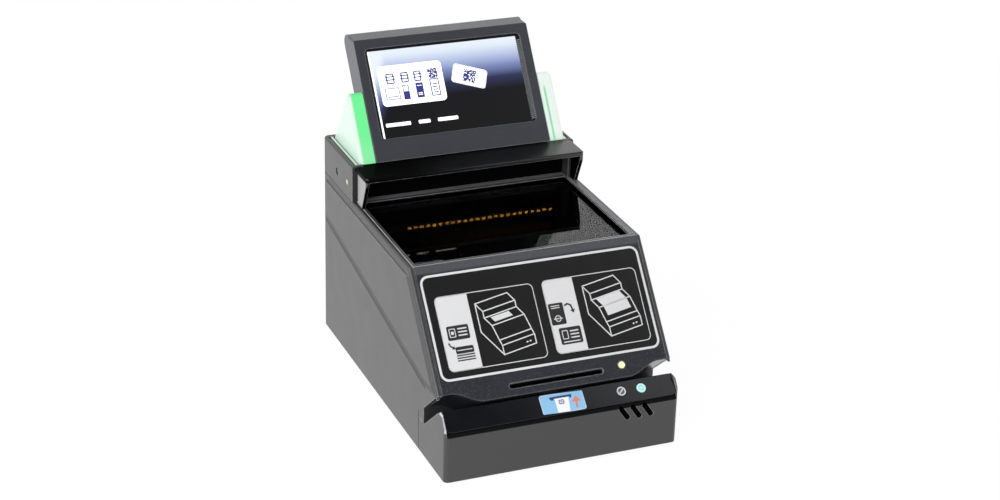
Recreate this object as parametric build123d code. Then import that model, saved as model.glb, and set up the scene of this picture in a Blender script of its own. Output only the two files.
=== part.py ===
from build123d import *
import os
from math import cos, hypot, radians, sin, tan

# Passport reader: a full-page window under a hood, a swipe slot module in front, and a small display on top.
# Millimetres. X runs right, Y runs back from the front of the slot module, Z runs up from the housing's edge.

# Driving dimensions of the housing
body_width = 142.0
body_depth = 212.3
rim_height = 104.5
hood_height = 22.0
hood_length = 54.3
wall = 2.5
seam = 0.3
overrun = 20.0
sliver = 0.01
corner_radius = 3.0

# Sloping front panel: the place of its foot, and its angle with the table
panel_foot_y = 13.0
panel_foot_z = 47.6
panel_lean = 50.145
panel_thick = 2.5

# Scanning window
window_side = 5.1
window_front_bar = 2.5
glass_thick = 3.0
glass_sink = 2.0

# Slot module and the swipe slot between it and the front panel
module_depth = 41.9
module_front_height = 30.7
bezel_run = 10.2
bezel_rise = 8.8
slot_height = 8.1
slot_gap = 1.4
slot_end_y = 34.0
slot_floor_thick = 2.0
flare_inset = 7.5
flare_gap = 3.8
flare_bend_share = 0.36

# Display and the signal lights beside it
display_inset = 15.3
display_length = 75.2
display_thick = 17.0
display_lift = 0.9
display_lean = 54.77
light_shoulder = 5.5
light_apex_back = 26.0
light_rise = 38.2
light_back_gap = 4.0

# Rubber feet
foot_proud = 1.5

half = body_width / 2
inside = half - wall
hood_top = rim_height + hood_height
panel_slope = radians(panel_lean)
panel_length = (rim_height - panel_foot_z) / sin(panel_slope)
panel_top_y = panel_foot_y + panel_length * cos(panel_slope)
window_width = body_width - window_side * 2
window_front_y = panel_top_y + window_front_bar
window_back_y = body_depth - hood_length
window_middle_y = (window_front_y + window_back_y) / 2
panel_half = inside - seam
bezel_length = hypot(bezel_run, bezel_rise)
display_width = body_width - display_inset * 2
display_front_y = window_back_y
display_foot_z = hood_top + display_lift
lean = radians(display_lean)
light_apex_y = display_front_y + light_apex_back
light_apex_z = hood_top + light_rise
light_back_y = body_depth - light_back_gap


def sloped_plane(foot_y, foot_z, run, rise):
    """A plane that leans back: its own X runs right, its own Y runs up the slope, and its Z points out"""
    return Plane(origin=(0, foot_y, foot_z), x_dir=(1, 0, 0), z_dir=(0, -rise, run))


panel_plane = sloped_plane(panel_foot_y, panel_foot_z, cos(panel_slope), sin(panel_slope))
bezel_plane = sloped_plane(0, module_front_height, bezel_run, bezel_rise)
display_plane = sloped_plane(display_front_y, display_foot_z, cos(lean), sin(lean))
front_plane = Plane.XZ


def behind_panel(up, deep):
    """Y and Z of a point that lies so far up the front panel's slope and so deep behind its face"""
    y = panel_foot_y + up * cos(panel_slope) + deep * sin(panel_slope)
    z = panel_foot_z + up * sin(panel_slope) - deep * cos(panel_slope)
    return (y, z)


def depth_at_y(up, y):
    """How deep behind the panel the line at this height up the slope reaches the given Y"""
    return (y - panel_foot_y - up * cos(panel_slope)) / sin(panel_slope)


def depth_at_z(up, z):
    """How deep behind the panel the line at this height up the slope reaches the given Z"""
    return (panel_foot_z + up * sin(panel_slope) - z) / cos(panel_slope)


def behind_display(up, deep):
    """Y and Z of a point so far up the display's face and so deep behind it"""
    y = display_front_y + up * cos(lean) + deep * sin(lean)
    z = display_foot_z + up * sin(lean) - deep * cos(lean)
    return (y, z)


def block(x_span, y_span, z_span):
    """A box between two values on each axis"""
    spans = (x_span, y_span, z_span)
    sizes = [high - low for low, high in spans]
    centre = [(high + low) / 2 for low, high in spans]
    return Pos(*centre) * Box(*sizes)


def prism(points, x_from, x_to, radii=None):
    """A side view outline in Y and Z, carried across from one X to another"""
    if radii is None:
        line = Polyline(*points, close=True)
    else:
        line = FilletPolyline(*points, radius=radii, close=True)
    return extrude(Plane.YZ.offset(x_from) * make_face(line), amount=x_to - x_from)


def slab(plane, sketch, low, high):
    """A flat shape on a sloping plane, from one height over the plane to another"""
    return extrude(plane.offset(low) * sketch, amount=high - low)


def rectangle(x_span, y_span, radius=0):
    """A flat rectangle between two values on each of its plane's axes, with rounded corners if asked"""
    width = x_span[1] - x_span[0]
    height = y_span[1] - y_span[0]
    shape = Rectangle(width, height)
    if radius > 0:
        shape = RectangleRounded(width, height, radius)
    return Pos((x_span[0] + x_span[1]) / 2, (y_span[0] + y_span[1]) / 2) * shape


def near_edge(part, x, y, z):
    """The edge of the part that passes closest to a point"""
    return part.edges().sort_by_distance((x, y, z))[0]


def both_sides(part):
    """A piece of the right side and its mirror image on the left"""
    return part + mirror(part, about=Plane.YZ)


def guide_line(rise):
    """The lower edge of the front panel: level at both ends and dropped in the middle by a soft curve.
    The line is raised by the given amount"""
    flare_x = half - flare_inset
    drop_x = lamp_x + flare_gap
    low = rise - (slot_height - slot_gap)
    bend = (flare_x - drop_x) * flare_bend_share
    left_end = Line((-panel_half, rise), (-flare_x, rise))
    left = Bezier((-flare_x, rise), (-flare_x + bend, rise), (-drop_x - bend, low), (-drop_x, low))
    middle = Line((-drop_x, low), (drop_x, low))
    right = Bezier((drop_x, low), (drop_x + bend, low), (flare_x - bend, rise), (flare_x, rise))
    right_end = Line((flare_x, rise), (panel_half, rise))
    return [left_end, left, middle, right, right_end]


def above_guide(rise, top):
    """The flat shape on the panel's plane from the raised lower edge up to a given height"""
    edges = guide_line(rise)
    side = Polyline((panel_half, rise), (panel_half, top), (-panel_half, top), (-panel_half, rise))
    return make_face(edges + [side])


# Main housing

plateau_proud = 1.3
plateau_top_drop = 5.0
plateau_back_gap = 8.6
plateau_back_height = 20.5
plateau_low_back = 16.0
plateau_low_rise = 2.4
plateau_ramp = 5.0
plateau_side_ramp = 2.2
plateau_top_ramp = 1.0
plateau_setback = 5.5
wall_edge_share = 0.6
ledge_reach = 1.2
ledge_thick = 3.0
frame_depth = 6.5
base_thick = 2.5
boss_radius = 4.0
boss_bore_radius = 1.25
boss_height = 14.0
boss_inset = 9.0
slot_floor_seam_z = 20.5


def spread(points, distances):
    """An outline whose sides are moved out, each by its own distance; the points run clockwise"""
    sides = []
    for index, distance in enumerate(distances):
        y, z = points[index]
        next_y, next_z = points[(index + 1) % len(points)]
        length = hypot(next_y - y, next_z - z)
        out_y = -(next_z - z) / length
        out_z = (next_y - y) / length
        sides.append((out_y, out_z, out_y * y + out_z * z + distance))
    corners = []
    for index, (out_y, out_z, reach) in enumerate(sides):
        last_y, last_z, last_reach = sides[index - 1]
        turn = last_y * out_z - last_z * out_y
        corner_y = (last_reach * out_z - reach * last_z) / turn
        corner_z = (last_y * reach - out_y * last_reach) / turn
        corners.append((corner_y, corner_z))
    return corners


def plateau():
    """The raised field on the right side wall: its lower edge climbs to the back, and its edges are ramps"""
    top_z = rim_height - plateau_top_drop
    low_z = panel_foot_z + plateau_low_rise
    back_y = body_depth - plateau_back_gap
    inner = [
        (panel_foot_y + (low_z - panel_foot_z) / tan(panel_slope) + plateau_setback, low_z),
        (panel_foot_y + (top_z - panel_foot_z) / tan(panel_slope) + plateau_setback, top_z),
        (back_y, top_z),
        (back_y, top_z - plateau_back_height),
        (panel_foot_y + plateau_low_back, low_z),
    ]
    outer = spread(inner, [plateau_side_ramp, plateau_top_ramp, plateau_ramp, plateau_ramp, plateau_ramp])
    foot = Plane.YZ.offset(half) * make_face(Polyline(*outer, close=True))
    top = Plane.YZ.offset(half + plateau_proud) * make_face(Polyline(*inner, close=True))
    return extrude(foot, amount=-wall / 2) + loft([foot, top], ruled=True)


def side_wall():
    """The right side wall: its front edge follows the sloping panel, and the swipe slot notches it"""
    foot = behind_panel(0, 0)
    slot_roof = behind_panel(0, depth_at_y(0, slot_end_y))
    points = [
        (module_depth + seam, 0),
        (module_depth + seam, slot_floor_seam_z),
        (slot_end_y, slot_floor_seam_z),
        slot_roof,
        foot,
        (panel_top_y, rim_height),
        (body_depth, rim_height),
        (body_depth, 0),
    ]
    plate = prism(points, inside, half)
    middle = behind_panel(panel_length / 2, 0)
    front_edge = near_edge(plate, half, middle[0], middle[1])
    rim_edge = near_edge(plate, half, body_depth / 2, rim_height)
    return fillet([front_edge, rim_edge], wall * wall_edge_share)


def slot_bulkhead():
    """The inner wall that ends the swipe slot, and steps back over the slot module"""
    back_y = module_depth + seam
    low_z = base_thick + seam
    roof = behind_panel(0, depth_at_y(0, slot_end_y))
    upright = block((-inside, inside), (slot_end_y, slot_end_y + wall), (slot_floor_seam_z, roof[1] + wall))
    cut = slab(panel_plane, above_guide(guide_thick, panel_length), -slot_end_y * 2, 0)
    shelf_z = (slot_floor_seam_z, slot_floor_seam_z + wall)
    shelf = block((-inside, inside), (slot_end_y, back_y + wall), shelf_z)
    riser = block((-inside, inside), (back_y, back_y + wall), (low_z, slot_floor_seam_z + wall))
    return (upright - cut) + shelf + riser


def boss_places():
    """The four screw bosses under the housing, in from its corners"""
    x = inside - boss_inset
    front_y = module_depth + wall + boss_inset
    back_y = body_depth - wall - boss_inset
    return [(-x, front_y), (x, front_y), (-x, back_y), (x, back_y)]


def main_housing():
    """The moulded housing: two side walls with their raised fields, the rear wall, the slot bulkhead,
    the ledges that carry the glass frame, and the bosses for the base screws"""
    rear = block((-half, half), (body_depth - wall, body_depth), (0, rim_height))
    plan = rectangle((-half, half), (-body_depth, body_depth), corner_radius)
    shell = (both_sides(side_wall()) + rear) & extrude(plan, amount=rim_height)
    shell = shell + both_sides(plateau())
    ledge_top = rim_height - frame_depth
    ledge_y = (panel_top_y + wall * 2, window_back_y - wall)
    ledge = block((inside - ledge_reach, inside + sliver), ledge_y, (ledge_top - ledge_thick, ledge_top))
    shell = shell + both_sides(ledge) + slot_bulkhead()
    for x, y in boss_places():
        post = Pos(x, y, base_thick + boss_height / 2) * Cylinder(boss_radius, boss_height)
        rib_x = (min(x, inside), inside) if x > 0 else (-inside, max(x, -inside))
        rib = block(rib_x, (y - wall / 2, y + wall / 2), (base_thick, base_thick + boss_height))
        bore = Pos(x, y, base_thick + boss_height / 2) * Cylinder(boss_bore_radius, boss_height + seam)
        shell = shell + post + rib - bore
    for cut in socket_cuts():
        shell = shell - cut
    return shell


# Sockets in the rear wall

socket_z = 16.0
usb_x = -28.0
usb_width = 12.0
usb_height = 11.0
usb_depth = 16.0
power_x = 30.0
power_radius = 5.5
power_depth = 14.0
socket_fit = 0.2


def socket_cuts():
    """The two cut-outs in the rear wall: a square one for data and a round one for power"""
    y_span = (body_depth - wall * 2, body_depth + overrun)
    half_width = usb_width / 2 + socket_fit
    half_height = usb_height / 2 + socket_fit
    x_span = (usb_x - half_width, usb_x + half_width)
    square = block(x_span, y_span, (socket_z - half_height, socket_z + half_height))
    round_cut = Pos(power_x, body_depth, socket_z) * Rot(X=90) * Cylinder(power_radius + socket_fit, overrun)
    return [square, round_cut]


def data_socket():
    """A square data socket: a metal shell with the tongue of the plug's contacts"""
    skin = 0.5
    tongue_width = 5.6
    tongue_height = 3.2
    face_y = body_depth - seam
    outer = block(
        (usb_x - usb_width / 2, usb_x + usb_width / 2),
        (face_y - usb_depth, face_y),
        (socket_z - usb_height / 2, socket_z + usb_height / 2),
    )
    mouth_half = usb_width / 2 - wall / 2 - skin
    mouth_high = usb_height / 2 - wall / 2 - skin
    mouth = block(
        (usb_x - mouth_half, usb_x + mouth_half),
        (face_y - usb_depth + wall, face_y + overrun),
        (socket_z - mouth_high, socket_z + mouth_high),
    )
    tongue = block(
        (usb_x - tongue_width / 2, usb_x + tongue_width / 2),
        (face_y - usb_depth + skin, face_y - skin),
        (socket_z - tongue_height / 2, socket_z + tongue_height / 2),
    )
    return outer - mouth + tongue


def power_socket():
    """A round socket for a low voltage plug, with its centre pin"""
    bore_radius = 2.9
    pin_radius = 1.0
    face_y = body_depth - seam
    barrel_y = face_y - power_depth / 2
    barrel = Pos(power_x, barrel_y, socket_z) * Rot(X=90) * Cylinder(power_radius, power_depth)
    bore_length = power_depth - wall
    bore = Pos(power_x, face_y - bore_length / 2, socket_z) * Rot(X=90) * Cylinder(bore_radius, bore_length)
    pin_length = bore_length - seam
    pin_y = face_y - bore_length + pin_length / 2 - seam
    pin = Pos(power_x, pin_y, socket_z) * Rot(X=90) * Cylinder(pin_radius, pin_length)
    return barrel - bore + pin


# Base plate, feet and base screws

vent_count = 9
vent_pitch = 7.0
vent_length = 34.0
vent_width = 2.4
screw_length_share = 0.6
foot_radius = 7.0
foot_recess = 1.0
foot_inset = 15.0
screw_head_radius = 2.9
screw_head_height = 1.6
screw_shank_radius = 1.2


def foot_places():
    """The four feet: two under the slot module and two at the back"""
    x = inside - foot_inset
    back_y = body_depth - foot_inset * 2
    return [(-x, foot_inset), (x, foot_inset), (-x, back_y), (x, back_y)]


def base_plate():
    """The plate that closes the housing from below, with vent slots, foot pockets and countersunk holes"""
    reach = inside - seam
    plate = block((-reach, reach), (wall + seam, body_depth - wall - seam), (0, base_thick))
    vent = Pos(0, window_middle_y) * Rot(Z=90) * SlotOverall(vent_length, vent_width)
    slots = [Pos((index - (vent_count - 1) / 2) * vent_pitch, 0) * vent for index in range(vent_count)]
    plate = plate - extrude(Sketch() + slots, amount=overrun, both=True)
    for x, y in foot_places():
        plate = plate - Pos(x, y, foot_recess / 2) * Cylinder(foot_radius + seam, foot_recess)
    head_seat = Pos(0, 0, screw_head_height / 2) * Cylinder(screw_head_radius + seam, screw_head_height)
    for x, y in boss_places():
        plate = plate - Pos(x, y, 0) * Cylinder(screw_shank_radius + seam, overrun)
        plate = plate - Pos(x, y) * head_seat
    return plate


def rubber_feet():
    """Four round rubber feet pressed into the pockets of the base plate"""
    feet = []
    for x, y in foot_places():
        height = foot_recess + foot_proud
        foot = Pos(x, y, foot_recess - height / 2) * Cylinder(foot_radius, height)
        feet.append(chamfer(foot.edges().group_by(Axis.Z)[0], foot_proud / 3))
    return feet


def base_screws():
    """Four pan-head screws that hold the base plate to the housing's bosses"""
    screws = []
    length = boss_height * screw_length_share
    for x, y in boss_places():
        head = Pos(x, y, screw_head_height / 2) * Cylinder(screw_head_radius, screw_head_height)
        shank = Pos(x, y, screw_head_height + length / 2) * Cylinder(screw_shank_radius, length)
        drive = Pos(x, y, 0) * Box(screw_head_radius, screw_shank_radius / 2, screw_head_height)
        cross = Pos(x, y, 0) * Box(screw_shank_radius / 2, screw_head_radius, screw_head_height)
        screws.append(head + shank - drive - cross)
    return screws


# Front panel, its label and the status lamp

guide_thick = 2.2
card_width = 56.6
card_height = 2.4
card_bevel = 0.5
card_up = -0.9
lamp_gap = 11.9
lamp_up = 0.7
lamp_radius = 2.05
lamp_rim = 0.8
lamp_proud = 0.5
fit_gap = 0.2
label_side = 1.5
label_low = 7.1
label_top_gap = 5.92
label_thick = 0.25
label_radius = 5.0
panel_edge = 0.6

lamp_x = card_width / 2 + lamp_gap
label_half = panel_half - label_side


def front_panel():
    """The sloping panel. Its lower edge drops in the middle as the lip of the swipe slot, and a guide wall
    of the same curve runs in behind it, so that the slot is wide at both ends and narrow in the middle"""
    sheet = slab(panel_plane, above_guide(0, panel_length + wall), -panel_thick, 0)
    sheet = sheet - block((-body_width, body_width), (panel_top_y, body_depth), (0, body_depth))
    sheet = sheet - block((-body_width, body_width), (0, body_depth), (rim_height, body_depth))
    for x in (-panel_half, panel_half):
        middle = behind_panel(panel_length / 2, 0)
        sheet = fillet(near_edge(sheet, x, middle[0], middle[1]), panel_edge)
    lip = behind_panel(-(slot_height - slot_gap), 0)
    sheet = fillet(near_edge(sheet, 0, lip[0], lip[1]), panel_edge)
    shape = above_guide(0, panel_length) - Pos(0, guide_thick) * above_guide(0, panel_length)
    guide = slab(panel_plane, shape, -slot_end_y * 2, -panel_thick / 2)
    guide = guide - block((-body_width, body_width), (slot_end_y - seam, body_depth), (-overrun, body_depth))
    card_slot = Pos(0, card_up) * SlotOverall(card_width, card_height)
    card_mouth = Pos(0, card_up) * SlotOverall(card_width + card_bevel * 2, card_height + card_bevel * 2)
    card_cut = slab(panel_plane, card_slot, -panel_thick * 2, overrun)
    bevel = loft([panel_plane.offset(-card_bevel) * card_slot, panel_plane * card_mouth], ruled=True)
    lamp_hole = Pos(lamp_x, lamp_up) * Circle(lamp_radius + fit_gap)
    lamp_cut = slab(panel_plane, lamp_hole, -panel_thick * 2, overrun)
    lamp_room = Pos(lamp_x, lamp_up) * Circle(lamp_radius + lamp_rim + fit_gap)
    lamp_seat = slab(panel_plane, lamp_room, -panel_thick * 2 - seam, -panel_thick)
    return sheet + guide - card_cut - bevel - lamp_cut - lamp_seat


def front_label():
    """The printed overlay that is stuck on the panel"""
    shape = rectangle((-label_half, label_half), (label_low, panel_length - label_top_gap), label_radius)
    return slab(panel_plane, shape, 0, label_thick)


def status_lamp():
    """A round lamp lens with a flange behind the panel"""
    lens = slab(panel_plane, Pos(lamp_x, lamp_up) * Circle(lamp_radius), -panel_thick * 2, lamp_proud)
    top = panel_plane.from_local_coords((lamp_x, lamp_up, lamp_proud))
    lens = chamfer(lens.faces().sort_by_distance(top)[0].edges(), lamp_proud / 2)
    rim = Pos(lamp_x, lamp_up) * Circle(lamp_radius + lamp_rim)
    flange = slab(panel_plane, rim, -panel_thick * 2, -panel_thick)
    return lens + flange


# Card reader behind the card slot

reader_half = 31.0
reader_thick = 8.0
reader_gap = 0.5


def card_reader():
    """The chip card reader: a flat frame with a slot that lines up with the one in the panel"""
    low = card_up - reader_thick / 2 + reader_gap
    high = low + reader_thick
    deep = depth_at_y(low, slot_end_y) - seam
    body = slab(panel_plane, rectangle((-reader_half, reader_half), (low, high)), -deep, -panel_thick)
    slot = slab(panel_plane, Pos(0, card_up) * Rectangle(card_width, card_height / 2), -deep + wall, overrun)
    return body - slot


# Glass frame, document glass and radio antenna

frame_bar = 2.3
glass_hold = 1.2
antenna_thick = 1.0
antenna_width = 3.0


def glass_frame():
    """The frame round the scanning window, with a rebate below its lip for the glass"""
    reach = inside - seam
    front_y = panel_top_y + seam
    back_y = window_back_y + frame_bar
    low_z = rim_height - frame_depth
    outer = block((-reach, reach), (front_y, back_y), (low_z, rim_height))
    window = block((-window_width / 2, window_width / 2), (window_front_y, window_back_y), (0, hood_top))
    rebate = block(
        (-window_width / 2 - glass_hold - fit_gap, window_width / 2 + glass_hold + fit_gap),
        (window_front_y - glass_hold - fit_gap, window_back_y + glass_hold + fit_gap),
        (0, rim_height - glass_sink),
    )
    ring = outer - window - rebate
    for x in (-window_width / 2, window_width / 2):
        ring = chamfer(near_edge(ring, x, body_depth / 2, rim_height), seam * 2)
    return ring


def document_glass():
    """The flat glass that the opened document lies on"""
    top = rim_height - glass_sink
    reach = window_width / 2 + glass_hold
    y_span = (window_front_y - glass_hold, window_back_y + glass_hold)
    return block((-reach, reach), y_span, (top - glass_thick, top))


def radio_antenna():
    """The loop antenna: a thin board that runs round the edge of the glass from below"""
    top = rim_height - glass_sink - glass_thick
    reach = window_width / 2 + glass_hold
    y_low = window_front_y - glass_hold
    y_high = window_back_y + glass_hold
    board = block((-reach, reach), (y_low, y_high), (top - antenna_thick, top))
    hole = block(
        (-reach + antenna_width, reach - antenna_width),
        (y_low + antenna_width, y_high - antenna_width),
        (0, hood_top),
    )
    return board - hole


# Light chamber, camera and lighting under the glass

chamber_wall = 1.6
chamber_bottom_z = 42.0
chamber_foot_half = 44.0
chamber_foot_depth = 56.0
camera_board_z = 14.0
camera_board_half = 24.0
camera_board_thick = 1.6
barrel_radius = 9.0
barrel_top_z = 38.0
lens_radius = 6.5
lens_rise = 2.0
strip_width = 7.0


def tapered(plane, middle, top_reach, foot_reach, top_z):
    """A long wedge whose section narrows from the window down to the chamber's foot"""
    foot = [(middle - foot_reach, chamber_bottom_z), (middle + foot_reach, chamber_bottom_z)]
    top = [(middle + top_reach, top_z), (middle - top_reach, top_z)]
    return extrude(plane * Polygon(*foot, *top, align=None), amount=body_depth, both=True)


def chamber_form(shrink):
    """The funnel between the antenna and the camera, drawn in by a wall"""
    top_z = rim_height - glass_sink - glass_thick - antenna_thick
    width = window_width + glass_hold * 2 - shrink * 2
    length = window_back_y - window_front_y + glass_hold * 2 - shrink * 2
    foot_width = chamber_foot_half * 2 - shrink * 2
    foot_length = chamber_foot_depth - shrink * 2
    across = tapered(Plane.XZ, 0, width / 2, foot_width / 2, top_z)
    along = tapered(Plane.YZ, window_middle_y, length / 2, foot_length / 2, top_z)
    return across & along


def light_chamber():
    """The black funnel that keeps stray light off the camera, with a hole for the lens in its floor"""
    hollow = chamber_form(chamber_wall)
    floor = block(
        (-chamber_foot_half, chamber_foot_half),
        (window_middle_y - chamber_foot_depth / 2, window_middle_y + chamber_foot_depth / 2),
        (chamber_bottom_z, chamber_bottom_z + chamber_wall),
    )
    top_cut = block(
        (-window_width / 2, window_width / 2),
        (window_front_y, window_back_y),
        (rim_height - glass_sink - glass_thick - antenna_thick - seam, hood_top),
    )
    hole = Pos(0, window_middle_y, chamber_bottom_z) * Cylinder(barrel_radius + seam, overrun)
    return (chamber_form(0) - hollow) + floor - hole - top_cut


def camera_board():
    """The board that carries the document camera"""
    x_span = (-camera_board_half, camera_board_half)
    y_span = (window_middle_y - camera_board_half, window_middle_y + camera_board_half)
    board = block(x_span, y_span, (camera_board_z, camera_board_z + camera_board_thick))
    post = Pos(0, 0, (base_thick + camera_board_z) / 2) * Cylinder(wall / 2, camera_board_z - base_thick)
    for x in (-camera_board_half + wall, camera_board_half - wall):
        for y in (y_span[0] + wall, y_span[1] - wall):
            board = board + Pos(x, y) * post
    return board


def camera_barrel():
    """The lens barrel, screwed into its holder on the board"""
    low = camera_board_z + camera_board_thick
    holder_y = (window_middle_y - barrel_radius, window_middle_y + barrel_radius)
    holder = block((-barrel_radius, barrel_radius), holder_y, (low, (low + barrel_top_z) / 2))
    tube_z = (low + barrel_top_z) / 2
    tube = Pos(0, window_middle_y, tube_z) * Cylinder(barrel_radius - seam, barrel_top_z - low)
    seat = Pos(0, window_middle_y, barrel_top_z) * Cylinder(lens_radius, wall * 2)
    return holder + tube - seat


def camera_lens():
    """The front lens of the camera, set in the end of its barrel, with a bevelled rim"""
    thick = wall + lens_rise
    glass = Cylinder(lens_radius, thick)
    glass = chamfer(glass.edges().group_by(Axis.Z)[-1], lens_rise / 2)
    return Pos(0, window_middle_y, barrel_top_z + lens_rise - thick / 2) * glass


def lighting_strips():
    """Two boards with rows of lamps that light the document from both sides of the chamber floor"""
    low = chamber_bottom_z + chamber_wall
    strips = []
    lamp_count = 5
    for side in (-1, 1):
        x = side * (chamber_foot_half - strip_width)
        length = chamber_foot_depth - strip_width
        board = Pos(x, window_middle_y, low + chamber_wall / 2) * Box(strip_width, length, chamber_wall)
        for index in range(lamp_count):
            y = window_middle_y + (index - (lamp_count - 1) / 2) * length / lamp_count
            lamp = Box(strip_width / 2, strip_width / 2, chamber_wall)
            board = board + Pos(x, y, low + chamber_wall) * lamp
        strips.append(board)
    return strips


# Hood: the box behind the window, its visor, screws and side lamp

neck_reach = 8.0
neck_inset = 5.0
neck_thick = 1.4
hood_seam_back = 2.3
light_pocket_depth = 1.5
light_pocket_rim = 1.7
light_front_back = 2.9
light_side_gap = 0.5
hood_screw_front = 26.1
hood_screw_rise = 8.4
hood_screw_radius = 2.0
hood_screw_head = 0.9
hood_screw_sink = 0.6
hood_screw_clear = 0.5
side_lamp_back = 8.5
side_lamp_rise = 9.5
side_lamp_radius = 1.5
hood_edge = 1.0

neck_outer = half - neck_inset
hood_seam_y = window_back_y + hood_seam_back
light_front_y = window_back_y + light_front_back
light_inner_x = display_width / 2 + light_side_gap
light_outer_x = half - light_shoulder
light_pocket_out = half - light_pocket_rim
hood_screw_y = body_depth - hood_screw_front
hood_screw_z = rim_height + hood_screw_rise
side_lamp_y = window_back_y + side_lamp_back
side_lamp_z = rim_height + side_lamp_rise


def hood_housing():
    """The hood's box: open below and in front, with shallow pockets in its top where the lights stand"""
    front_y = window_back_y
    outer = block((-half, half), (front_y, body_depth), (rim_height, hood_top))
    plan = rectangle((-half, half), (-body_depth, body_depth), corner_radius)
    outer = outer & extrude(plan, amount=hood_top)
    outer = fillet(outer.faces().sort_by(Axis.Z)[-1].edges(), hood_edge)
    hollow_top = hood_top - wall - light_pocket_depth
    hollow = block((-inside, inside), (front_y + wall, body_depth - wall), (0, hollow_top))
    mouth = block((-neck_outer + neck_thick, neck_outer - neck_thick), (0, hood_seam_y), (0, body_depth))
    neck_y = (front_y - neck_reach, front_y + wall)
    neck_z = (rim_height + seam, hood_top - wall - seam)
    neck = block((neck_outer - neck_thick, neck_outer), neck_y, neck_z)
    shell = outer - hollow - mouth + both_sides(neck)
    pocket = block(
        (light_inner_x - seam, light_pocket_out),
        (light_front_y - seam, light_back_y + seam),
        (hood_top - light_pocket_depth, body_depth),
    )
    shell = shell - both_sides(pocket)
    screw_seat = (hood_screw_sink + hood_screw_head) * 2
    screw_place = Pos(half, hood_screw_y, hood_screw_z) * Rot(Y=90)
    screw_cut = screw_place * Cylinder(hood_screw_radius + hood_screw_clear, screw_seat)
    shank_cut = screw_place * Cylinder(hood_screw_radius / 2, overrun)
    lamp_place = Pos(-half, side_lamp_y, side_lamp_z) * Rot(Y=90)
    lamp_hole = lamp_place * Cylinder(side_lamp_radius + fit_gap, overrun)
    return shell - both_sides(screw_cut) - both_sides(shank_cut) - lamp_hole


visor_inset = 1.8
visor_reach = 20.5
visor_thick = 2.6
visor_corner = 2.0
cheek_thick = 2.2
cheek_foot_reach = 12.2
cheek_back_reach = 5.0
visor_edge = 0.8
bead_side = 1.3

visor_half = half - visor_inset
visor_front_y = window_back_y - visor_reach
cheek_foot_y = window_back_y - cheek_foot_reach
cheek_back_y = window_back_y - cheek_back_reach


def hood_visor():
    """The visor: a flat canopy with two slanted cheeks, and the back wall behind the window with a bead at
    its foot"""
    back_y = hood_seam_y - seam
    wall_y = back_y - wall
    canopy_z = (hood_top - visor_thick, hood_top)
    tongue_half = neck_outer - neck_thick - seam
    tongue_x = (-tongue_half, tongue_half)
    canopy = block((-visor_half, visor_half), (visor_front_y, window_back_y - seam), canopy_z)
    tongue = block(tongue_x, (cheek_back_y, back_y), canopy_z)
    back = block(tongue_x, (wall_y, back_y), (rim_height, hood_top - visor_thick / 2))
    bead = block(tongue_x, (wall_y - bead_side, wall_y), (rim_height, rim_height + bead_side))
    bead = chamfer(near_edge(bead, 0, wall_y - bead_side, rim_height + bead_side), bead_side / 2)
    canopy = canopy + tongue
    canopy = fillet(near_edge(canopy, 0, visor_front_y, hood_top), visor_edge)
    for x in (-visor_half, visor_half):
        canopy = fillet(near_edge(canopy, x, cheek_foot_y, hood_top), visor_edge)
    points = [
        (visor_front_y, hood_top - visor_thick),
        (cheek_foot_y, rim_height + seam),
        (cheek_back_y, rim_height + seam),
        (cheek_back_y, hood_top - visor_thick / 2),
        (visor_front_y + visor_thick / 2, hood_top - visor_thick / 2),
    ]
    cheek = prism(points, visor_half - cheek_thick, visor_half)
    plan = rectangle((-visor_half, visor_half), (visor_front_y, body_depth), visor_corner)
    front = (canopy + both_sides(cheek)) & extrude(plan, amount=hood_top)
    return front + back + bead


def hood_screws():
    """Two screws that hold the hood, one sunk in each side"""
    face_x = half - hood_screw_sink
    place = Pos(0, hood_screw_y, hood_screw_z)
    length = wall * 2
    head_x = face_x - hood_screw_head / 2
    head = place * Pos(head_x, 0) * Rot(Y=90) * Cylinder(hood_screw_radius, hood_screw_head)
    shank_x = face_x - hood_screw_head - length / 2
    shank = place * Pos(shank_x, 0) * Rot(Y=90) * Cylinder(hood_screw_radius / 2, length)
    drive = place * Pos(face_x, 0) * Box(hood_screw_head, hood_screw_radius / 3, hood_screw_radius)
    cross = place * Pos(face_x, 0) * Box(hood_screw_head, hood_screw_radius, hood_screw_radius / 3)
    screw = head + shank - drive - cross
    return [screw, mirror(screw, about=Plane.YZ)]


def side_lamp():
    """The small lamp in the left side of the hood"""
    length = wall * 2
    lens_x = -half - seam + length / 2
    return Pos(lens_x, side_lamp_y, side_lamp_z) * Rot(Y=90) * Cylinder(side_lamp_radius, length)


# Amber lamp strip under the visor

amber_count = 24
amber_pitch = 4.0
amber_side = 7.5
amber_drop = 3.4
amber_board_height = 4.0
amber_board_thick = 0.8
amber_lamp_width = 2.8
amber_lamp_height = 1.2
amber_plug_width = 9.0
amber_plug_depth = 3.2


def amber_strip():
    """A narrow board fixed high on the back wall under the visor: a row of amber lamps that ends at its
    right, and the board's plug at its left"""
    wall_y = hood_seam_y - seam - wall
    top = hood_top - visor_thick - amber_drop
    middle_z = top - amber_board_height / 2
    reach = neck_outer - amber_side
    face_y = wall_y - amber_board_thick
    board = block((-reach, reach), (face_y, wall_y), (top - amber_board_height, top))
    row_end = reach - amber_pitch / 2
    lamp = Box(amber_lamp_width, amber_board_thick * 2, amber_lamp_height)
    for index in range(amber_count):
        board = board + Pos(row_end - index * amber_pitch, face_y, middle_z) * lamp
    plug_x = (-reach + amber_board_thick, -reach + amber_board_thick + amber_plug_width)
    plug_z = (top - amber_board_height + amber_board_thick / 2, top - amber_board_thick / 2)
    return board + block(plug_x, (wall_y - amber_plug_depth, wall_y), plug_z)


# Display and its stand

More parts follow.
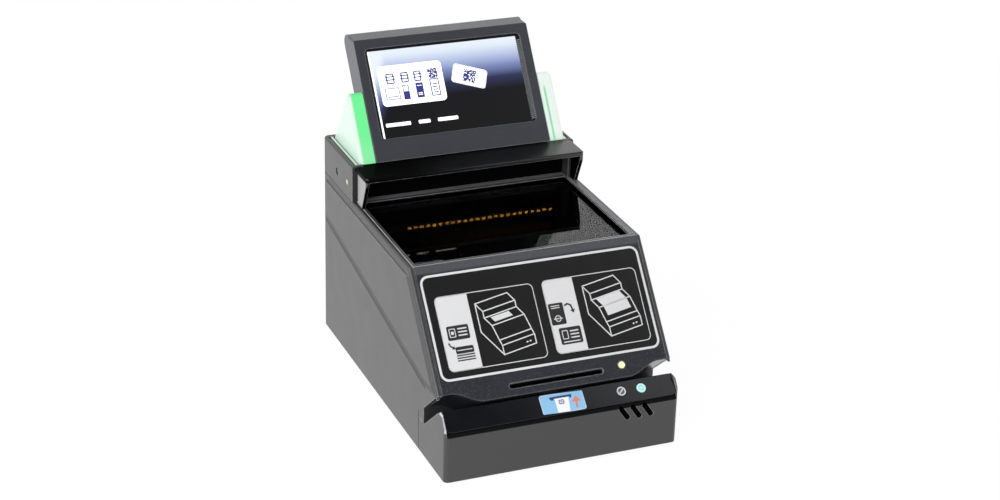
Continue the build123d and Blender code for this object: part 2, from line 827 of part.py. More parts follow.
front_frame_depth = 7.0
screen_side = 8.0
screen_low = 14.3
screen_top_gap = 7.1
bevel_drop = 0.7
bevel_rise = 1.3
bevel_side = 2.3
bevel_corner = 3.0
bevel_inner_corner = 0.6
screen_sink = 2.5
screen_module_side = 3.1
screen_module_thick = 3.0
display_edge = 1.0
display_back_radius = 5.0
display_wall = 2.0
display_vent_count = 4

screen_half_width = display_width / 2 - screen_side
screen_high = display_length - screen_top_gap
screen_module_half = display_width / 2 - screen_module_side


def display_profile(x_span, radius):
    """The display's side view: a leaning slab with a level foot and a level top"""
    top = behind_display(display_length, 0)
    foot = behind_display(0, 0)
    back_low = behind_display(0, display_thick)
    rise = foot[1] - back_low[1]
    foot_back_y = back_low[0] + rise * cos(lean) / sin(lean)
    top_back_y = foot_back_y + (top[1] - foot[1]) * cos(lean) / sin(lean)
    points = [foot, top, (top_back_y, top[1]), (foot_back_y, foot[1])]
    return prism(points, x_span[0], x_span[1], [0, 0, radius, 0])


def front_part(deep):
    """Everything within a depth behind the display's face"""
    return slab(display_plane, Rectangle(body_depth * 2, body_depth * 2), -deep, overrun)


def display_front_frame():
    """The bezel of the display: its window has bevelled walls down to the screen"""
    reach = display_width / 2
    body = display_profile((-reach, reach), display_back_radius) & front_part(front_frame_depth)
    for x in (-reach, reach):
        for up in (0, display_length):
            corner = behind_display(up, front_frame_depth / 2)
            body = fillet(near_edge(body, x, corner[0], corner[1]), display_edge)
    outer_half = screen_half_width + bevel_side
    outer_up = (screen_low - bevel_drop, screen_high + bevel_rise)
    outer = display_plane * rectangle((-outer_half, outer_half), outer_up, bevel_corner)
    screen = rectangle((-screen_half_width, screen_half_width), (screen_low, screen_high), bevel_inner_corner)
    bevel = loft([display_plane.offset(-screen_sink) * screen, outer], ruled=True)
    window = slab(display_plane, screen, -screen_sink - seam, 0)
    pocket = slab(
        display_plane,
        rectangle(
            (-screen_module_half - fit_gap, screen_module_half + fit_gap),
            (screen_low - display_wall * 2 - fit_gap, screen_high + display_wall + fit_gap),
        ),
        -front_frame_depth - overrun,
        -screen_sink,
    )
    return body - bevel - window - pocket


def display_rear_cover():
    """The back of the display: a shallow moulded tray with a level foot and a rounded top edge"""
    reach = display_width / 2
    body = display_profile((-reach, reach), display_back_radius) - front_part(front_frame_depth)
    hollow = slab(
        display_plane,
        rectangle((-reach + display_wall, reach - display_wall), (screen_low - display_wall, screen_high)),
        -display_thick + display_wall,
        0,
    )
    vents = [
        Pos(0, screen_high - (index + 2) * vent_width * 2) * SlotOverall(vent_length, vent_width / 2)
        for index in range(display_vent_count)
    ]
    grille = slab(display_plane, Sketch() + vents, -display_thick - overrun, 0)
    return body - hollow - grille


def display_screen():
    """The flat screen module behind the display's window"""
    shape = rectangle(
        (-screen_module_half, screen_module_half), (screen_low - display_wall * 2, screen_high + display_wall)
    )
    return slab(display_plane, shape, -screen_sink - screen_module_thick, -screen_sink)


stand_inset = 5.7
stand_wall = 3.0


def display_stand():
    """The wedge that stands on the hood and carries the display on its sloping front"""
    stand_half = display_width / 2 - stand_inset
    run = cos(lean) / sin(lean)
    foot_y = behind_display(0, display_thick)[0] + (display_thick * cos(lean) - display_lift) * run
    ease = (light_back_y - light_apex_y) / (light_apex_z - hood_top)
    reach = (light_back_y - foot_y) / (run + ease)
    peak = (foot_y + reach * run, hood_top + reach)
    points = [(foot_y, hood_top), peak, (light_back_y, hood_top)]
    wedge = prism(points, -stand_half, stand_half, [0, corner_radius, 0])
    hollow_points = [
        (foot_y + stand_wall * 2, 0),
        (foot_y + stand_wall * 2, hood_top + stand_wall),
        (peak[0], peak[1] - stand_wall * 3),
        (light_back_y - stand_wall * 2, hood_top + stand_wall),
        (light_back_y - stand_wall * 2, 0),
    ]
    return wedge - prism(hollow_points, -stand_half + stand_wall, stand_half - stand_wall)


# Signal lights

light_wall = 2.0
light_radius = 2.5
light_apex_radius = 3.0
light_board_thick = 1.2
light_lamp_count = 5
flange_thick = 0.7
rail_gap = 0.8
rail_width = 1.3


def light_outline(inset):
    """The side view of a signal light, drawn in by a wall: two slopes that meet in a rounded apex"""
    base_z = hood_top - light_pocket_depth
    foot_z = display_foot_z
    front_y = display_front_y
    slope = hypot(light_apex_y - front_y, light_apex_z - foot_z)
    side = inset * slope / (light_apex_z - foot_z)
    drop = inset * slope / (light_apex_y - front_y)
    if inset > 0:
        return [
            (front_y + side * 2, base_z - overrun),
            (front_y + side * 2, foot_z + inset),
            (light_apex_y, light_apex_z - drop),
            (light_back_y - side * 2, foot_z + inset),
            (light_back_y - side * 2, base_z - overrun),
        ]
    return [
        (light_front_y, base_z),
        (light_front_y, foot_z),
        (front_y, foot_z),
        (light_apex_y, light_apex_z),
        (light_back_y, foot_z),
        (light_back_y, base_z),
    ]


def signal_light():
    """The right light: a translucent hollow wedge, open below, with a flange and a rail at its outer foot"""
    wedge = prism(light_outline(0), light_inner_x, light_outer_x, [0, 0, 0, light_apex_radius, 0, 0])
    slope_y = (display_front_y + light_apex_y) / 2
    slope_z = (display_foot_z + light_apex_z) / 2
    wedge = fillet(near_edge(wedge, light_outer_x, slope_y, slope_z), light_radius)
    hollow = prism(light_outline(light_wall), light_inner_x + light_wall, light_outer_x - light_wall)
    base_z = hood_top - light_pocket_depth
    y_span = (light_front_y, light_back_y)
    flange_x = (light_outer_x - light_wall / 2, light_pocket_out - fit_gap)
    flange = block(flange_x, y_span, (base_z, base_z + flange_thick))
    rail_x = (light_outer_x + rail_gap, light_outer_x + rail_gap + rail_width)
    rail = block(rail_x, y_span, (base_z, hood_top))
    return wedge - hollow + flange + rail


def signal_light_board():
    """The board inside the right light, with a row of green lamps up its front edge"""
    middle_x = (light_inner_x + light_outer_x) / 2
    points = [
        (light_front_y + light_wall * 4, hood_top - light_pocket_depth),
        (light_front_y + light_wall * 4, display_foot_z + light_wall),
        (light_apex_y, light_apex_z - light_wall * 5),
        (light_back_y - light_wall * 4, display_foot_z + light_wall),
        (light_back_y - light_wall * 4, hood_top - light_pocket_depth),
    ]
    board = prism(points, middle_x - light_board_thick / 2, middle_x + light_board_thick / 2)
    for index in range(light_lamp_count):
        share = (index + 1) / (light_lamp_count + 2)
        y = points[1][0] + (points[2][0] - points[1][0]) * share + light_wall
        z = points[1][1] + (points[2][1] - points[1][1]) * share
        board = board + Pos(middle_x, y, z) * Box(light_board_thick * 3, light_wall, light_wall)
    return board


# Slot module: housing, bezel, keys, key board, loudspeaker and sticker

bezel_rim = 1.3
bezel_thick = 2.0
bezel_start = 0.4
bezel_corner = 3.0
bezel_top_corner = 2.0
peak_y = 7.9
peak_radius = 2.0
sound_slot_count = 3
sound_slot_inset = 26.55
sound_slot_drop = 6.35
sound_slot_pitch = 7.2
sound_slot_length = 10.4
sound_slot_width = 3.0
sound_slot_lean = -55.0
key_up = 7.55
key_inset = 21.4
key_pitch = 12.5
key_radius = 2.75
key_proud = 0.3
key_flange = 0.9
key_flange_thick = 0.8
key_travel = 0.5
key_board_deep = 6.5
key_board_thick = 1.6
key_board_side = 7.4
switch_side = 4.4
head_deep = 18.0
head_width = 13.0
head_length = 6.5
head_height = 7.0
head_proud = 0.6
head_gap = 0.5

bezel_reach = half - bezel_rim
sound_x = half - sound_slot_inset
sound_z = module_front_height - sound_slot_drop
key_places = {"left_key": half - key_inset - key_pitch, "right_key": half - key_inset}


def slot_module_housing():
    """The moulded cover of the slot module: front wall with sound slots, side walls that stand a little proud
    of the bezel, and the sloping floor of the swipe slot"""
    floor_up = -slot_height
    peak = behind_panel(floor_up, depth_at_y(floor_up, peak_y))
    shelf_z = slot_floor_seam_z - seam
    points = [
        (0, 0),
        (0, module_front_height - seam),
        peak,
        behind_panel(floor_up, depth_at_z(floor_up, shelf_z)),
        (module_depth, shelf_z),
        (module_depth, 0),
    ]
    radii = [0, corner_radius / 2, peak_radius, 0, 0, 0]
    outer = prism(points, -half, half, radii)
    top_z = outer.bounding_box().max.Z
    plan = rectangle((-half, half), (0, body_depth), corner_radius)
    front_view = front_plane * rectangle((-half, half), (-top_z, top_z), corner_radius)
    outer = outer & extrude(plan, amount=body_depth) & extrude(front_view, amount=-body_depth)
    under = floor_up - slot_floor_thick
    shelf_low = shelf_z - slot_floor_thick
    hollow_points = [
        (wall, -overrun),
        (wall, module_front_height),
        behind_panel(under, depth_at_y(under, bezel_run)),
        behind_panel(under, depth_at_z(under, shelf_low)),
        (module_depth + overrun, shelf_low),
        (module_depth + overrun, -overrun),
    ]
    hollow = prism(hollow_points, -inside, inside)
    seat = slab(
        bezel_plane,
        rectangle((-bezel_reach - seam, bezel_reach + seam), (-overrun, bezel_length)),
        -bezel_thick,
        overrun,
    )
    slots = [
        Pos(sound_x + (index - (sound_slot_count - 1) / 2) * sound_slot_pitch, sound_z)
        * Rot(Z=sound_slot_lean)
        * SlotOverall(sound_slot_length, sound_slot_width)
        for index in range(sound_slot_count)
    ]
    sound = extrude(front_plane * (Sketch() + slots), amount=wall + seam, both=True)
    window = slab(
        floor_plane(),
        Rectangle(head_width + head_gap * 2, head_length + head_gap * 2),
        -slot_floor_thick - seam,
        overrun,
    )
    return outer - hollow - seat - sound - window


def floor_plane():
    """The floor of the swipe slot, centred on the read head, with its Z across the slot"""
    centre = behind_panel(-slot_height, head_deep)
    return Plane(origin=(0, *centre), x_dir=(1, 0, 0), z_dir=(0, cos(panel_slope), sin(panel_slope)))


def slot_module_bezel():
    """The glossy strip over the slot module: it carries the two keys, and two posts hold the key board"""
    outline = rectangle((-bezel_reach, bezel_reach), (bezel_start, bezel_length))
    plate = slab(bezel_plane, outline, -bezel_thick, 0)
    for x in (-bezel_reach, bezel_reach):
        middle = bezel_plane.from_local_coords((x, bezel_start, -bezel_thick / 2))
        plate = fillet(near_edge(plate, *middle), bezel_corner)
    above_floor = [
        behind_panel(-slot_height, -overrun),
        behind_panel(-slot_height, overrun),
        behind_panel(overrun, overrun),
        behind_panel(overrun, -overrun),
    ]
    plate = plate - prism(above_floor, -body_width, body_width)
    top_z = plate.bounding_box().max.Z
    front_view = front_plane * rectangle((-bezel_reach, bezel_reach), (-top_z, top_z), bezel_top_corner)
    plate = plate & extrude(front_view, amount=-body_depth)
    key_x = list(key_places.values())
    for x in key_x:
        plate = plate - slab(bezel_plane, Pos(x, key_up) * Circle(key_radius + fit_gap), -overrun, overrun)
    for x in (min(key_x) - key_radius * 2, max(key_x) + key_radius * 2):
        plate = plate + slab(bezel_plane, Pos(x, key_up) * Circle(wall / 2), -key_board_deep, -bezel_thick)
    return plate


def key(x):
    """A round key cap with a flange that keeps it behind the bezel"""
    low = -bezel_thick - seam - key_flange_thick
    cap = slab(bezel_plane, Pos(x, key_up) * Circle(key_radius), low, key_proud)
    top = bezel_plane.from_local_coords((x, key_up, key_proud))
    cap = chamfer(cap.faces().sort_by_distance(top)[0].edges(), key_proud / 2)
    return cap + slab(bezel_plane, Pos(x, key_up) * Circle(key_radius + key_flange), low, -bezel_thick - seam)


def key_board():
    """The small board under the bezel, with one switch below each key"""
    key_x = list(key_places.values())
    x_span = (min(key_x) - key_board_side, max(key_x) + key_board_side)
    up_span = (key_up - switch_side, key_up + switch_side)
    board = slab(bezel_plane, rectangle(x_span, up_span), -key_board_deep - key_board_thick, -key_board_deep)
    rest = -bezel_thick - seam - key_flange_thick - key_travel - seam
    switch_top = rest - key_board_thick / 2
    for x in key_x:
        place = Pos(x, key_up)
        switch = slab(bezel_plane, place * Rectangle(switch_side, switch_side), -key_board_deep, switch_top)
        board = board + switch + slab(bezel_plane, place * Circle(key_radius / 3), switch_top, rest)
    return board


sticker_half = 13.4
sticker_low = 1.2
sticker_high = 12.6
sticker_x = 0.9
sticker_turn = -2.0
sticker_thick = 0.15


def slot_sticker():
    """The small picture sticker on the bezel that shows how to use the slot"""
    height = sticker_high - sticker_low
    place = Pos(sticker_x, (sticker_low + sticker_high) / 2) * Rot(Z=sticker_turn)
    shape = RectangleRounded(sticker_half * 2, height, height / 10)
    return slab(bezel_plane, place * shape, 0, sticker_thick)


speaker_drop = 4.85
speaker_width = 26.0
speaker_height = 12.0
speaker_depth = 3.5
magnet_radius = 4.0
magnet_depth = 1.5


def loudspeaker():
    """The flat loudspeaker behind the sound slots, with its magnet"""
    speaker_z = sound_z - speaker_drop
    outline = RectangleRounded(speaker_width, speaker_height, speaker_height / 3)
    face = front_plane * Pos(sound_x, speaker_z) * outline
    body = Pos(0, wall, 0) * extrude(face, amount=-speaker_depth)
    magnet_y = wall + speaker_depth + magnet_depth / 2
    magnet_place = Pos(sound_x, magnet_y, speaker_z - magnet_radius / 4)
    magnet = magnet_place * Rot(X=90) * Cylinder(magnet_radius, magnet_depth)
    return body + magnet


# Read head in the floor of the swipe slot

spring_thick = 0.3
spring_reach = 12.0
spring_width = 4.0


def read_head():
    """The read head: a rounded block that looks a little out of the slot's floor"""
    body = slab(floor_plane(), Rectangle(head_width, head_length), head_proud - head_height, head_proud)
    for x in (-head_width / 2, head_width / 2):
        corner = floor_plane().from_local_coords((x, 0, head_proud))
        body = fillet(near_edge(body, *corner), head_length / 3)
    return body


def head_spring():
    """The leaf spring under the read head, with its two feet on the bottom of the slot's floor"""
    low = head_proud - head_height - seam - spring_thick
    under = -slot_floor_thick
    leaf = slab(floor_plane(), Rectangle(spring_reach * 2, spring_width), low, low + spring_thick)
    leg_shape = rectangle((spring_reach - spring_thick, spring_reach), (-spring_width / 2, spring_width / 2))
    leg = slab(floor_plane(), leg_shape, low, under)
    return leaf + both_sides(leg)


# Main board

main_board_side = 16.5
main_board_front_gap = 18.1
main_board_z = 7.0
main_board_thick = 1.6
chip_side = 16.0
chip_height = 2.0
chip_inset = 14.4


def main_board():
    """The main circuit board on four posts, with its larger parts"""
    reach = inside - main_board_side
    front_y = module_depth + main_board_front_gap
    back_y = body_depth - wall - power_depth - wall * 2
    board_top = main_board_z + main_board_thick
    board = block((-reach, reach), (front_y, back_y), (main_board_z, board_top))
    post = Pos(0, 0, (base_thick + main_board_z) / 2) * Cylinder(wall, main_board_z - base_thick)
    for x in (-reach + wall * 2, reach - wall * 2):
        for y in (front_y + wall * 2, back_y - wall * 2):
            board = board + Pos(x, y) * post
    opening_half = camera_board_half + wall
    opening_y = (window_middle_y - opening_half, window_middle_y + opening_half)
    board = board - block((-opening_half, opening_half), opening_y, (base_thick, rim_height))
    chip = Pos(0, back_y - chip_inset, board_top + chip_height / 2) * Box(chip_side, chip_side, chip_height)
    for x in (-reach / 2, reach / 2):
        board = board + Pos(x, 0) * chip
    return board


def build():
    """Every piece by its name; a list holds like pieces that share a name"""
    pieces = {
        "main_housing": main_housing(),
        "base_plate": base_plate(),
        "rubber_feet": rubber_feet(),
        "base_screws": base_screws(),
        "data_socket": data_socket(),
        "power_socket": power_socket(),
        "front_panel": front_panel(),
        "front_label": front_label(),
        "status_lamp": status_lamp(),
        "card_reader": card_reader(),
        "glass_frame": glass_frame(),
        "document_glass": document_glass(),
        "radio_antenna": radio_antenna(),
        "light_chamber": light_chamber(),
        "camera_board": camera_board(),
        "camera_barrel": camera_barrel(),
        "camera_lens": camera_lens(),
        "lighting_strips": lighting_strips(),
        "hood_housing": hood_housing(),
        "hood_visor": hood_visor(),
        "hood_screws": hood_screws(),
        "side_lamp": side_lamp(),
        "amber_strip": amber_strip(),
        "display_front_frame": display_front_frame(),
        "display_rear_cover": display_rear_cover(),
        "display_screen": display_screen(),
        "display_stand": display_stand(),
        "right_light": signal_light(),
        "left_light": mirror(signal_light(), about=Plane.YZ),
        "right_light_board": signal_light_board(),
        "left_light_board": mirror(signal_light_board(), about=Plane.YZ),
        "slot_module_housing": slot_module_housing(),
        "slot_module_bezel": slot_module_bezel(),
        "key_board": key_board(),
        "slot_sticker": slot_sticker(),
        "loudspeaker": loudspeaker(),
        "read_head": read_head(),
        "head_spring": head_spring(),
        "main_board": main_board(),
    }
    for name, x in key_places.items():
        pieces[name] = key(x)
    return pieces


def as_list(piece):
    """A piece as a list of its separate bodies"""
    return piece if isinstance(piece, list) else [piece]


os.makedirs("parts", exist_ok=True)
pieces = build()
whole = Compound(children=[Compound(body.wrapped) for piece in pieces.values() for body in as_list(piece)])
bounds = whole.bounding_box()
shift = Pos(-(bounds.min.X + bounds.max.X) / 2, -(bounds.min.Y + bounds.max.Y) / 2, -bounds.min.Z)
for name, piece in pieces.items():
    placed = [shift * body for body in as_list(piece)]
    export_step(placed[0] if len(placed) == 1 else Compound(children=placed), "parts/" + name + ".step")
print("shift", shift.position)
print("size", bounds.size)
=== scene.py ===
from math import cos, pi, radians, sin

import bmesh
import bpy
from mathutils import Euler, Matrix, Vector


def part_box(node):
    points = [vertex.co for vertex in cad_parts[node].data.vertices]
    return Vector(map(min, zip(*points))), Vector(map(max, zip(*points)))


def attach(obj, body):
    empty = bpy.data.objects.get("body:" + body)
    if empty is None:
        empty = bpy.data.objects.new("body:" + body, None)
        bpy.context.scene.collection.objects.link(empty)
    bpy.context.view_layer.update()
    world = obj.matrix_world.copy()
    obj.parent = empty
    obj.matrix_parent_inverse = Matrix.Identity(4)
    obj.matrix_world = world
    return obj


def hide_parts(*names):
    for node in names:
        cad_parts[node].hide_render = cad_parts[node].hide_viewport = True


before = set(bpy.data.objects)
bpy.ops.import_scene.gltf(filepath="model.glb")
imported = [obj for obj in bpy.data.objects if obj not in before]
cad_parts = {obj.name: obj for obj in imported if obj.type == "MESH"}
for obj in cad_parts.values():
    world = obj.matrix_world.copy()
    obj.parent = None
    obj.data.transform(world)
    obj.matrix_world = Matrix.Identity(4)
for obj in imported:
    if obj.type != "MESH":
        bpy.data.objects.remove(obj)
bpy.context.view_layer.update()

front_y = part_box("slot_module_housing")[0].y
base_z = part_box("slot_module_housing")[0].z
MM = 0.001

# The view: a photographer's camera in front, to the left and above, set level with a small roll.
# Its place is measured from the front of the slot module and from the housing's lower edge.

camera_from_front = Vector((-0.460269, -0.993906, 0.628666))
camera_turn = 22.82982
camera_down = 24.49561
camera_roll = 1.65427
camera_data = bpy.data.cameras.new("camera")
camera_data.sensor_width = 36
camera_data.lens = 80.486
camera_data.clip_start = 0.01
camera = bpy.data.objects.new("camera", camera_data)
bpy.context.scene.collection.objects.link(camera)
aim = Euler((radians(90 - camera_down), 0, radians(-camera_turn))).to_matrix().to_4x4()
place = Matrix.Translation(camera_from_front + Vector((0, front_y, base_z)))
camera.matrix_world = place @ aim @ Matrix.Rotation(radians(camera_roll), 4, "Z")
bpy.context.scene.camera = camera
bpy.context.scene.view_settings.view_transform = "Standard"


# The studio: a white room, brightest round the horizon, with soft boxes on both sides and above. The floor
# is a plain white sheet that keeps a faint shadow.

class Value:
    """What comes out of a node, so that shader maths reads as plain sums"""

    def __init__(self, finish, socket):
        self.finish = finish
        self.socket = socket

    def combine(self, operation, other=0.0, swapped=False):
        first, second = (other, self) if swapped else (self, other)
        return self.finish.add("ShaderNodeMath", {"operation": operation}, {0: first, 1: second}).out()

    def __add__(self, other):
        return self.combine("ADD", other)

    def __radd__(self, other):
        return self.combine("ADD", other, True)

    def __sub__(self, other):
        return self.combine("SUBTRACT", other)

    def __rsub__(self, other):
        return self.combine("SUBTRACT", other, True)

    def __mul__(self, other):
        return self.combine("MULTIPLY", other)

    def __truediv__(self, other):
        return self.combine("DIVIDE", other)

    def __abs__(self):
        return self.combine("ABSOLUTE")

    def step(self, low, high):
        """0 below the low value, 1 above the high one, and a soft climb between them"""
        inputs = {"Value": self, "From Min": low, "From Max": high}
        return self.finish.add("ShaderNodeMapRange", {"interpolation_type": "SMOOTHSTEP"}, inputs).out()

    def drop(self, low, high):
        """1 below the low value, 0 above the high one, and a soft fall between them"""
        return 1 - self.step(low, high)

    def between(self, low, full_from, full_to, high):
        """1 between the two inner values, 0 outside the two outer ones"""
        return self.step(low, full_from) * self.drop(full_to, high)


class Node:
    """A node and the tree that it belongs to"""

    def __init__(self, finish, node):
        self.finish = finish
        self.node = node

    def out(self, key=0):
        """One of its results"""
        return Value(self.finish, self.node.outputs[key])


class Nodes:
    """A tree of nodes and the one way in which a node is added to it"""

    def __init__(self, tree):
        self.tree = tree

    def add(self, kind, settings=None, inputs=None):
        node = self.tree.nodes.new(kind)
        for name, value in (settings or {}).items():
            if name == "stops":
                ramp = node.color_ramp.elements
                while len(ramp) < len(value):
                    ramp.new(0.5)
                for element, (position, colour) in zip(ramp, value):
                    element.position = position
                    element.color = (*colour, 1)
            else:
                setattr(node, name, value)
        for key, value in (inputs or {}).items():
            if isinstance(value, Value):
                self.tree.links.new(value.socket, node.inputs[key])
            elif node.inputs[key].type == "RGBA":
                node.inputs[key].default_value = (*value, 1)
            else:
                node.inputs[key].default_value = value
        return Node(self, node)


class Finish(Nodes):
    """A material or the world, and the nodes that make it"""

    def __init__(self, owner):
        owner.use_nodes = True
        owner.node_tree.nodes.clear()
        super().__init__(owner.node_tree)
        self.owner = owner

    def place(self):
        """The object coordinates, in metres"""
        return self.add("ShaderNodeTexCoord").out("Object")

    def position(self):
        """Millimetres from the middle, from the slot module's front face and from the housing's lower edge"""
        parts = self.add("ShaderNodeSeparateXYZ", None, {0: self.place()})
        return parts.out(0) / MM, (parts.out(1) - front_y) / MM, (parts.out(2) - base_z) / MM

    def noise(self, size, detail=2.0, stretch=(1, 1, 1)):
        """Noise whose features are about so many millimetres wide"""
        turned = self.add("ShaderNodeMapping", None, {"Vector": self.place(), "Scale": stretch}).out()
        inputs = {"Vector": turned, "Scale": 1 / (size * MM), "Detail": detail}
        return self.add("ShaderNodeTexNoise", None, inputs).out()

    def blend(self, factor, first, second):
        """A colour between two others"""
        return self.add("ShaderNodeMix", {"data_type": "RGBA"}, {0: factor, 6: first, 7: second}).out(2)


def world_light():
    """White where the camera looks past the object. Shiny surfaces mirror a bright horizon and a dark
    ceiling"""
    world = bpy.data.worlds.new("studio")
    bpy.context.scene.world = world
    studio = Finish(world)
    rays = studio.add("ShaderNodeLightPath")
    way = studio.add("ShaderNodeTexCoord").out("Generated")
    height = studio.add("ShaderNodeSeparateXYZ", None, {0: way}).out(2)
    levels = [(0.0, 0.5), (0.28, 0.68), (0.46, 0.78), (0.58, 0.38), (0.7, 0.14), (0.8, 0.05), (1.0, 0.02)]
    stops = [(place, (level,) * 3) for place, level in levels]
    mirrored = studio.add("ShaderNodeValToRGB", {"stops": stops}, {0: height}).out() * 2.0
    seen = rays.out("Is Camera Ray") + rays.out("Is Transmission Ray")
    strength = seen + rays.out("Is Glossy Ray") * mirrored + rays.out("Is Diffuse Ray") * 0.35
    light = studio.add("ShaderNodeBackground", None, {"Color": (1, 1, 1), "Strength": strength}).out()
    studio.add("ShaderNodeOutputWorld", None, {0: light})


def area_lamp(name, place, target, size, power):
    """A square soft box that faces a point"""
    data = bpy.data.lights.new(name, "AREA")
    data.size = size
    data.energy = power
    lamp = bpy.data.objects.new(name, data)
    lamp.location = place
    lamp.rotation_euler = (Vector(target) - Vector(place)).to_track_quat("-Z", "Y").to_euler()
    bpy.context.scene.collection.objects.link(lamp)


world_light()
area_lamp("left_front_box", (-0.7, -0.8, 0.5), (0, 0, 0.08), 0.6, 8.5)
area_lamp("left_box", (-1.0, 0.0, 0.45), (0, 0, 0.08), 0.7, 5)
area_lamp("right_box", (0.9, 0.7, 0.6), (0, 0, 0.08), 0.6, 3)
area_lamp("overhead_strip", (0.82, -0.36, 1.06), (0.02, -0.09, 0.04), 0.62, 1.4)

floor_half = 3.0
floor_mesh = bpy.data.meshes.new("floor")
corners = [(-1, -1), (1, -1), (1, 1), (-1, 1)]
floor_mesh.from_pydata([(x * floor_half, y * floor_half, 0) for x, y in corners], [], [(0, 1, 2, 3)])
floor = bpy.data.objects.new("floor", floor_mesh)
bpy.context.scene.collection.objects.link(floor)
sheet = Finish(bpy.data.materials.new("white_sheet"))
rays = sheet.add("ShaderNodeLightPath")
mirrored = rays.out("Is Glossy Ray") + rays.out("Is Transmission Ray")
seen = rays.out("Is Camera Ray") * 0.92 + mirrored.step(0.0, 1.0)
shine = rays.out("Is Camera Ray") * 1.04 + rays.out("Is Transmission Ray") + rays.out("Is Glossy Ray") * 1.35
paper = sheet.add("ShaderNodeBsdfDiffuse", None, {"Color": (0.85, 0.85, 0.85)}).out()
glow = sheet.add("ShaderNodeEmission", None, {"Color": (1, 1, 1), "Strength": shine}).out()
mixed = sheet.add("ShaderNodeMixShader", None, {0: seen, 1: paper, 2: glow}).out()
sheet.add("ShaderNodeOutputMaterial", None, {0: mixed})
floor_mesh.materials.append(sheet.owner)


# The moulded housing, the hood's box, the display's stand and the slot module's cover: ABS with a fine
# spark-eroded grain, one dark anthracite, with a painted highlight along its edges.

class Surface(Finish):
    """A material with one Principled shader"""

    def __init__(self, name, **inputs):
        super().__init__(bpy.data.materials.new(name))
        plain = {key.replace("_", " "): value for key, value in inputs.items()}
        self.shader = self.add("ShaderNodeBsdfPrincipled", None, plain)
        self.outlet = self.add("ShaderNodeOutputMaterial", None, {0: self.shader.out()}).node

    def feed(self, key, value):
        """Links a value to the shader"""
        self.tree.links.new(value.socket, self.shader.node.inputs[key])

    def tint(self, factor, first, second):
        """Makes the base colour run between two colours"""
        self.feed("Base Color", self.blend(factor, first, second))

    def paint(self, mask, colour):
        """Lays a colour over the base colour where a mask says so"""
        self.tint(mask, Value(self, self.shader.node.inputs["Base Color"].links[0].from_socket), colour)

    def cover(self, mask, other):
        """Mixes another shader in where a mask says so"""
        mixed = self.add("ShaderNodeMixShader", None, {0: mask, 1: self.shader.out(), 2: other.out()}).out()
        self.tree.links.new(mixed.socket, self.outlet.inputs[0])

    def darken(self, mask, colour, shine=0.1):
        """Mixes a dark, dull plastic in where a mask says so: painted shade in corners that no light reaches,
        and black joints
        """
        inputs = {"Base Color": colour, "Roughness": 0.8, "Specular IOR Level": shine}
        self.cover(mask, self.add("ShaderNodeBsdfPrincipled", None, inputs))

    def bump(self, height, strength, distance, under=None):
        """Raises the surface by a height of so many millimetres at most"""
        inputs = {"Strength": strength, "Distance": distance * MM, "Height": height}
        if under:
            inputs["Normal"] = under
        self.feed("Normal", self.add("ShaderNodeBump", None, inputs).out())

    def rounding(self, radius):
        """The normal with edges rounded over, and how far it turns away from the flat one"""
        rounded = self.add("ShaderNodeBevel", {"samples": 6}, {"Radius": radius * MM}).out()
        flat = self.add("ShaderNodeNewGeometry").out("Normal")
        inputs = {0: rounded, 1: flat}
        straight = self.add("ShaderNodeVectorMath", {"operation": "DOT_PRODUCT"}, inputs).out("Value")
        return rounded, 1 - straight


def moulded(name, colour, roughness, grain=0.4, depth=0.35, edge=0.6, highlight_strength=0.8, highlight_tone=0.45, speck=0.35,
            shine=0.5):
    """Moulded plastic: grain, faint clouds in its gloss, and a painted highlight along its edges, which are
    also a little smoother
    """
    surface = Surface(name, Specular_IOR_Level=shine)
    clouds = surface.noise(14, 3.0)
    grains = surface.noise(grain)
    rounded, turn = surface.rounding(edge)
    # Painted highlight: a pale tone laid along the edges, broken up by noise
    surface.worn = turn.step(0.008, 0.09) * highlight_strength * (0.55 + surface.noise(3, 4.0).step(0.35, 0.7) * 0.45)
    dark = tuple(c * 0.86 for c in colour)
    light = tuple(c * 1.7 + 0.004 + (speck - 0.35) * 0.2 for c in colour)
    cloudy = surface.blend(clouds, dark, colour)
    surface.tint(grains.step(0.6, 0.76) * speck, cloudy, light)
    surface.paint(surface.worn, (highlight_tone, highlight_tone, highlight_tone * 1.05))
    surface.feed("Roughness", roughness - 0.04 + clouds * 0.08 - surface.worn * 0.15)
    surface.bump(grains, depth, 0.06, rounded)
    return surface


def dress(surface, *nodes):
    """Gives CAD nodes a material"""
    for name in nodes:
        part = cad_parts[name]
        if not part.material_slots:
            part.data.materials.append(surface.owner)
        for slot in part.material_slots:
            slot.material = surface.owner


half_width = 71.0
module_depth = 41.9
bezel_foot_height = 30.7
field_foot_height = 39.5
field_foot_lean = radians(9.42)
field_run = (30, 34, 208, 209)
sound_slots_x = (31, 31.2, 61, 61.2)
sound_slots_z = (15, 15.2, 27.4, 27.6)


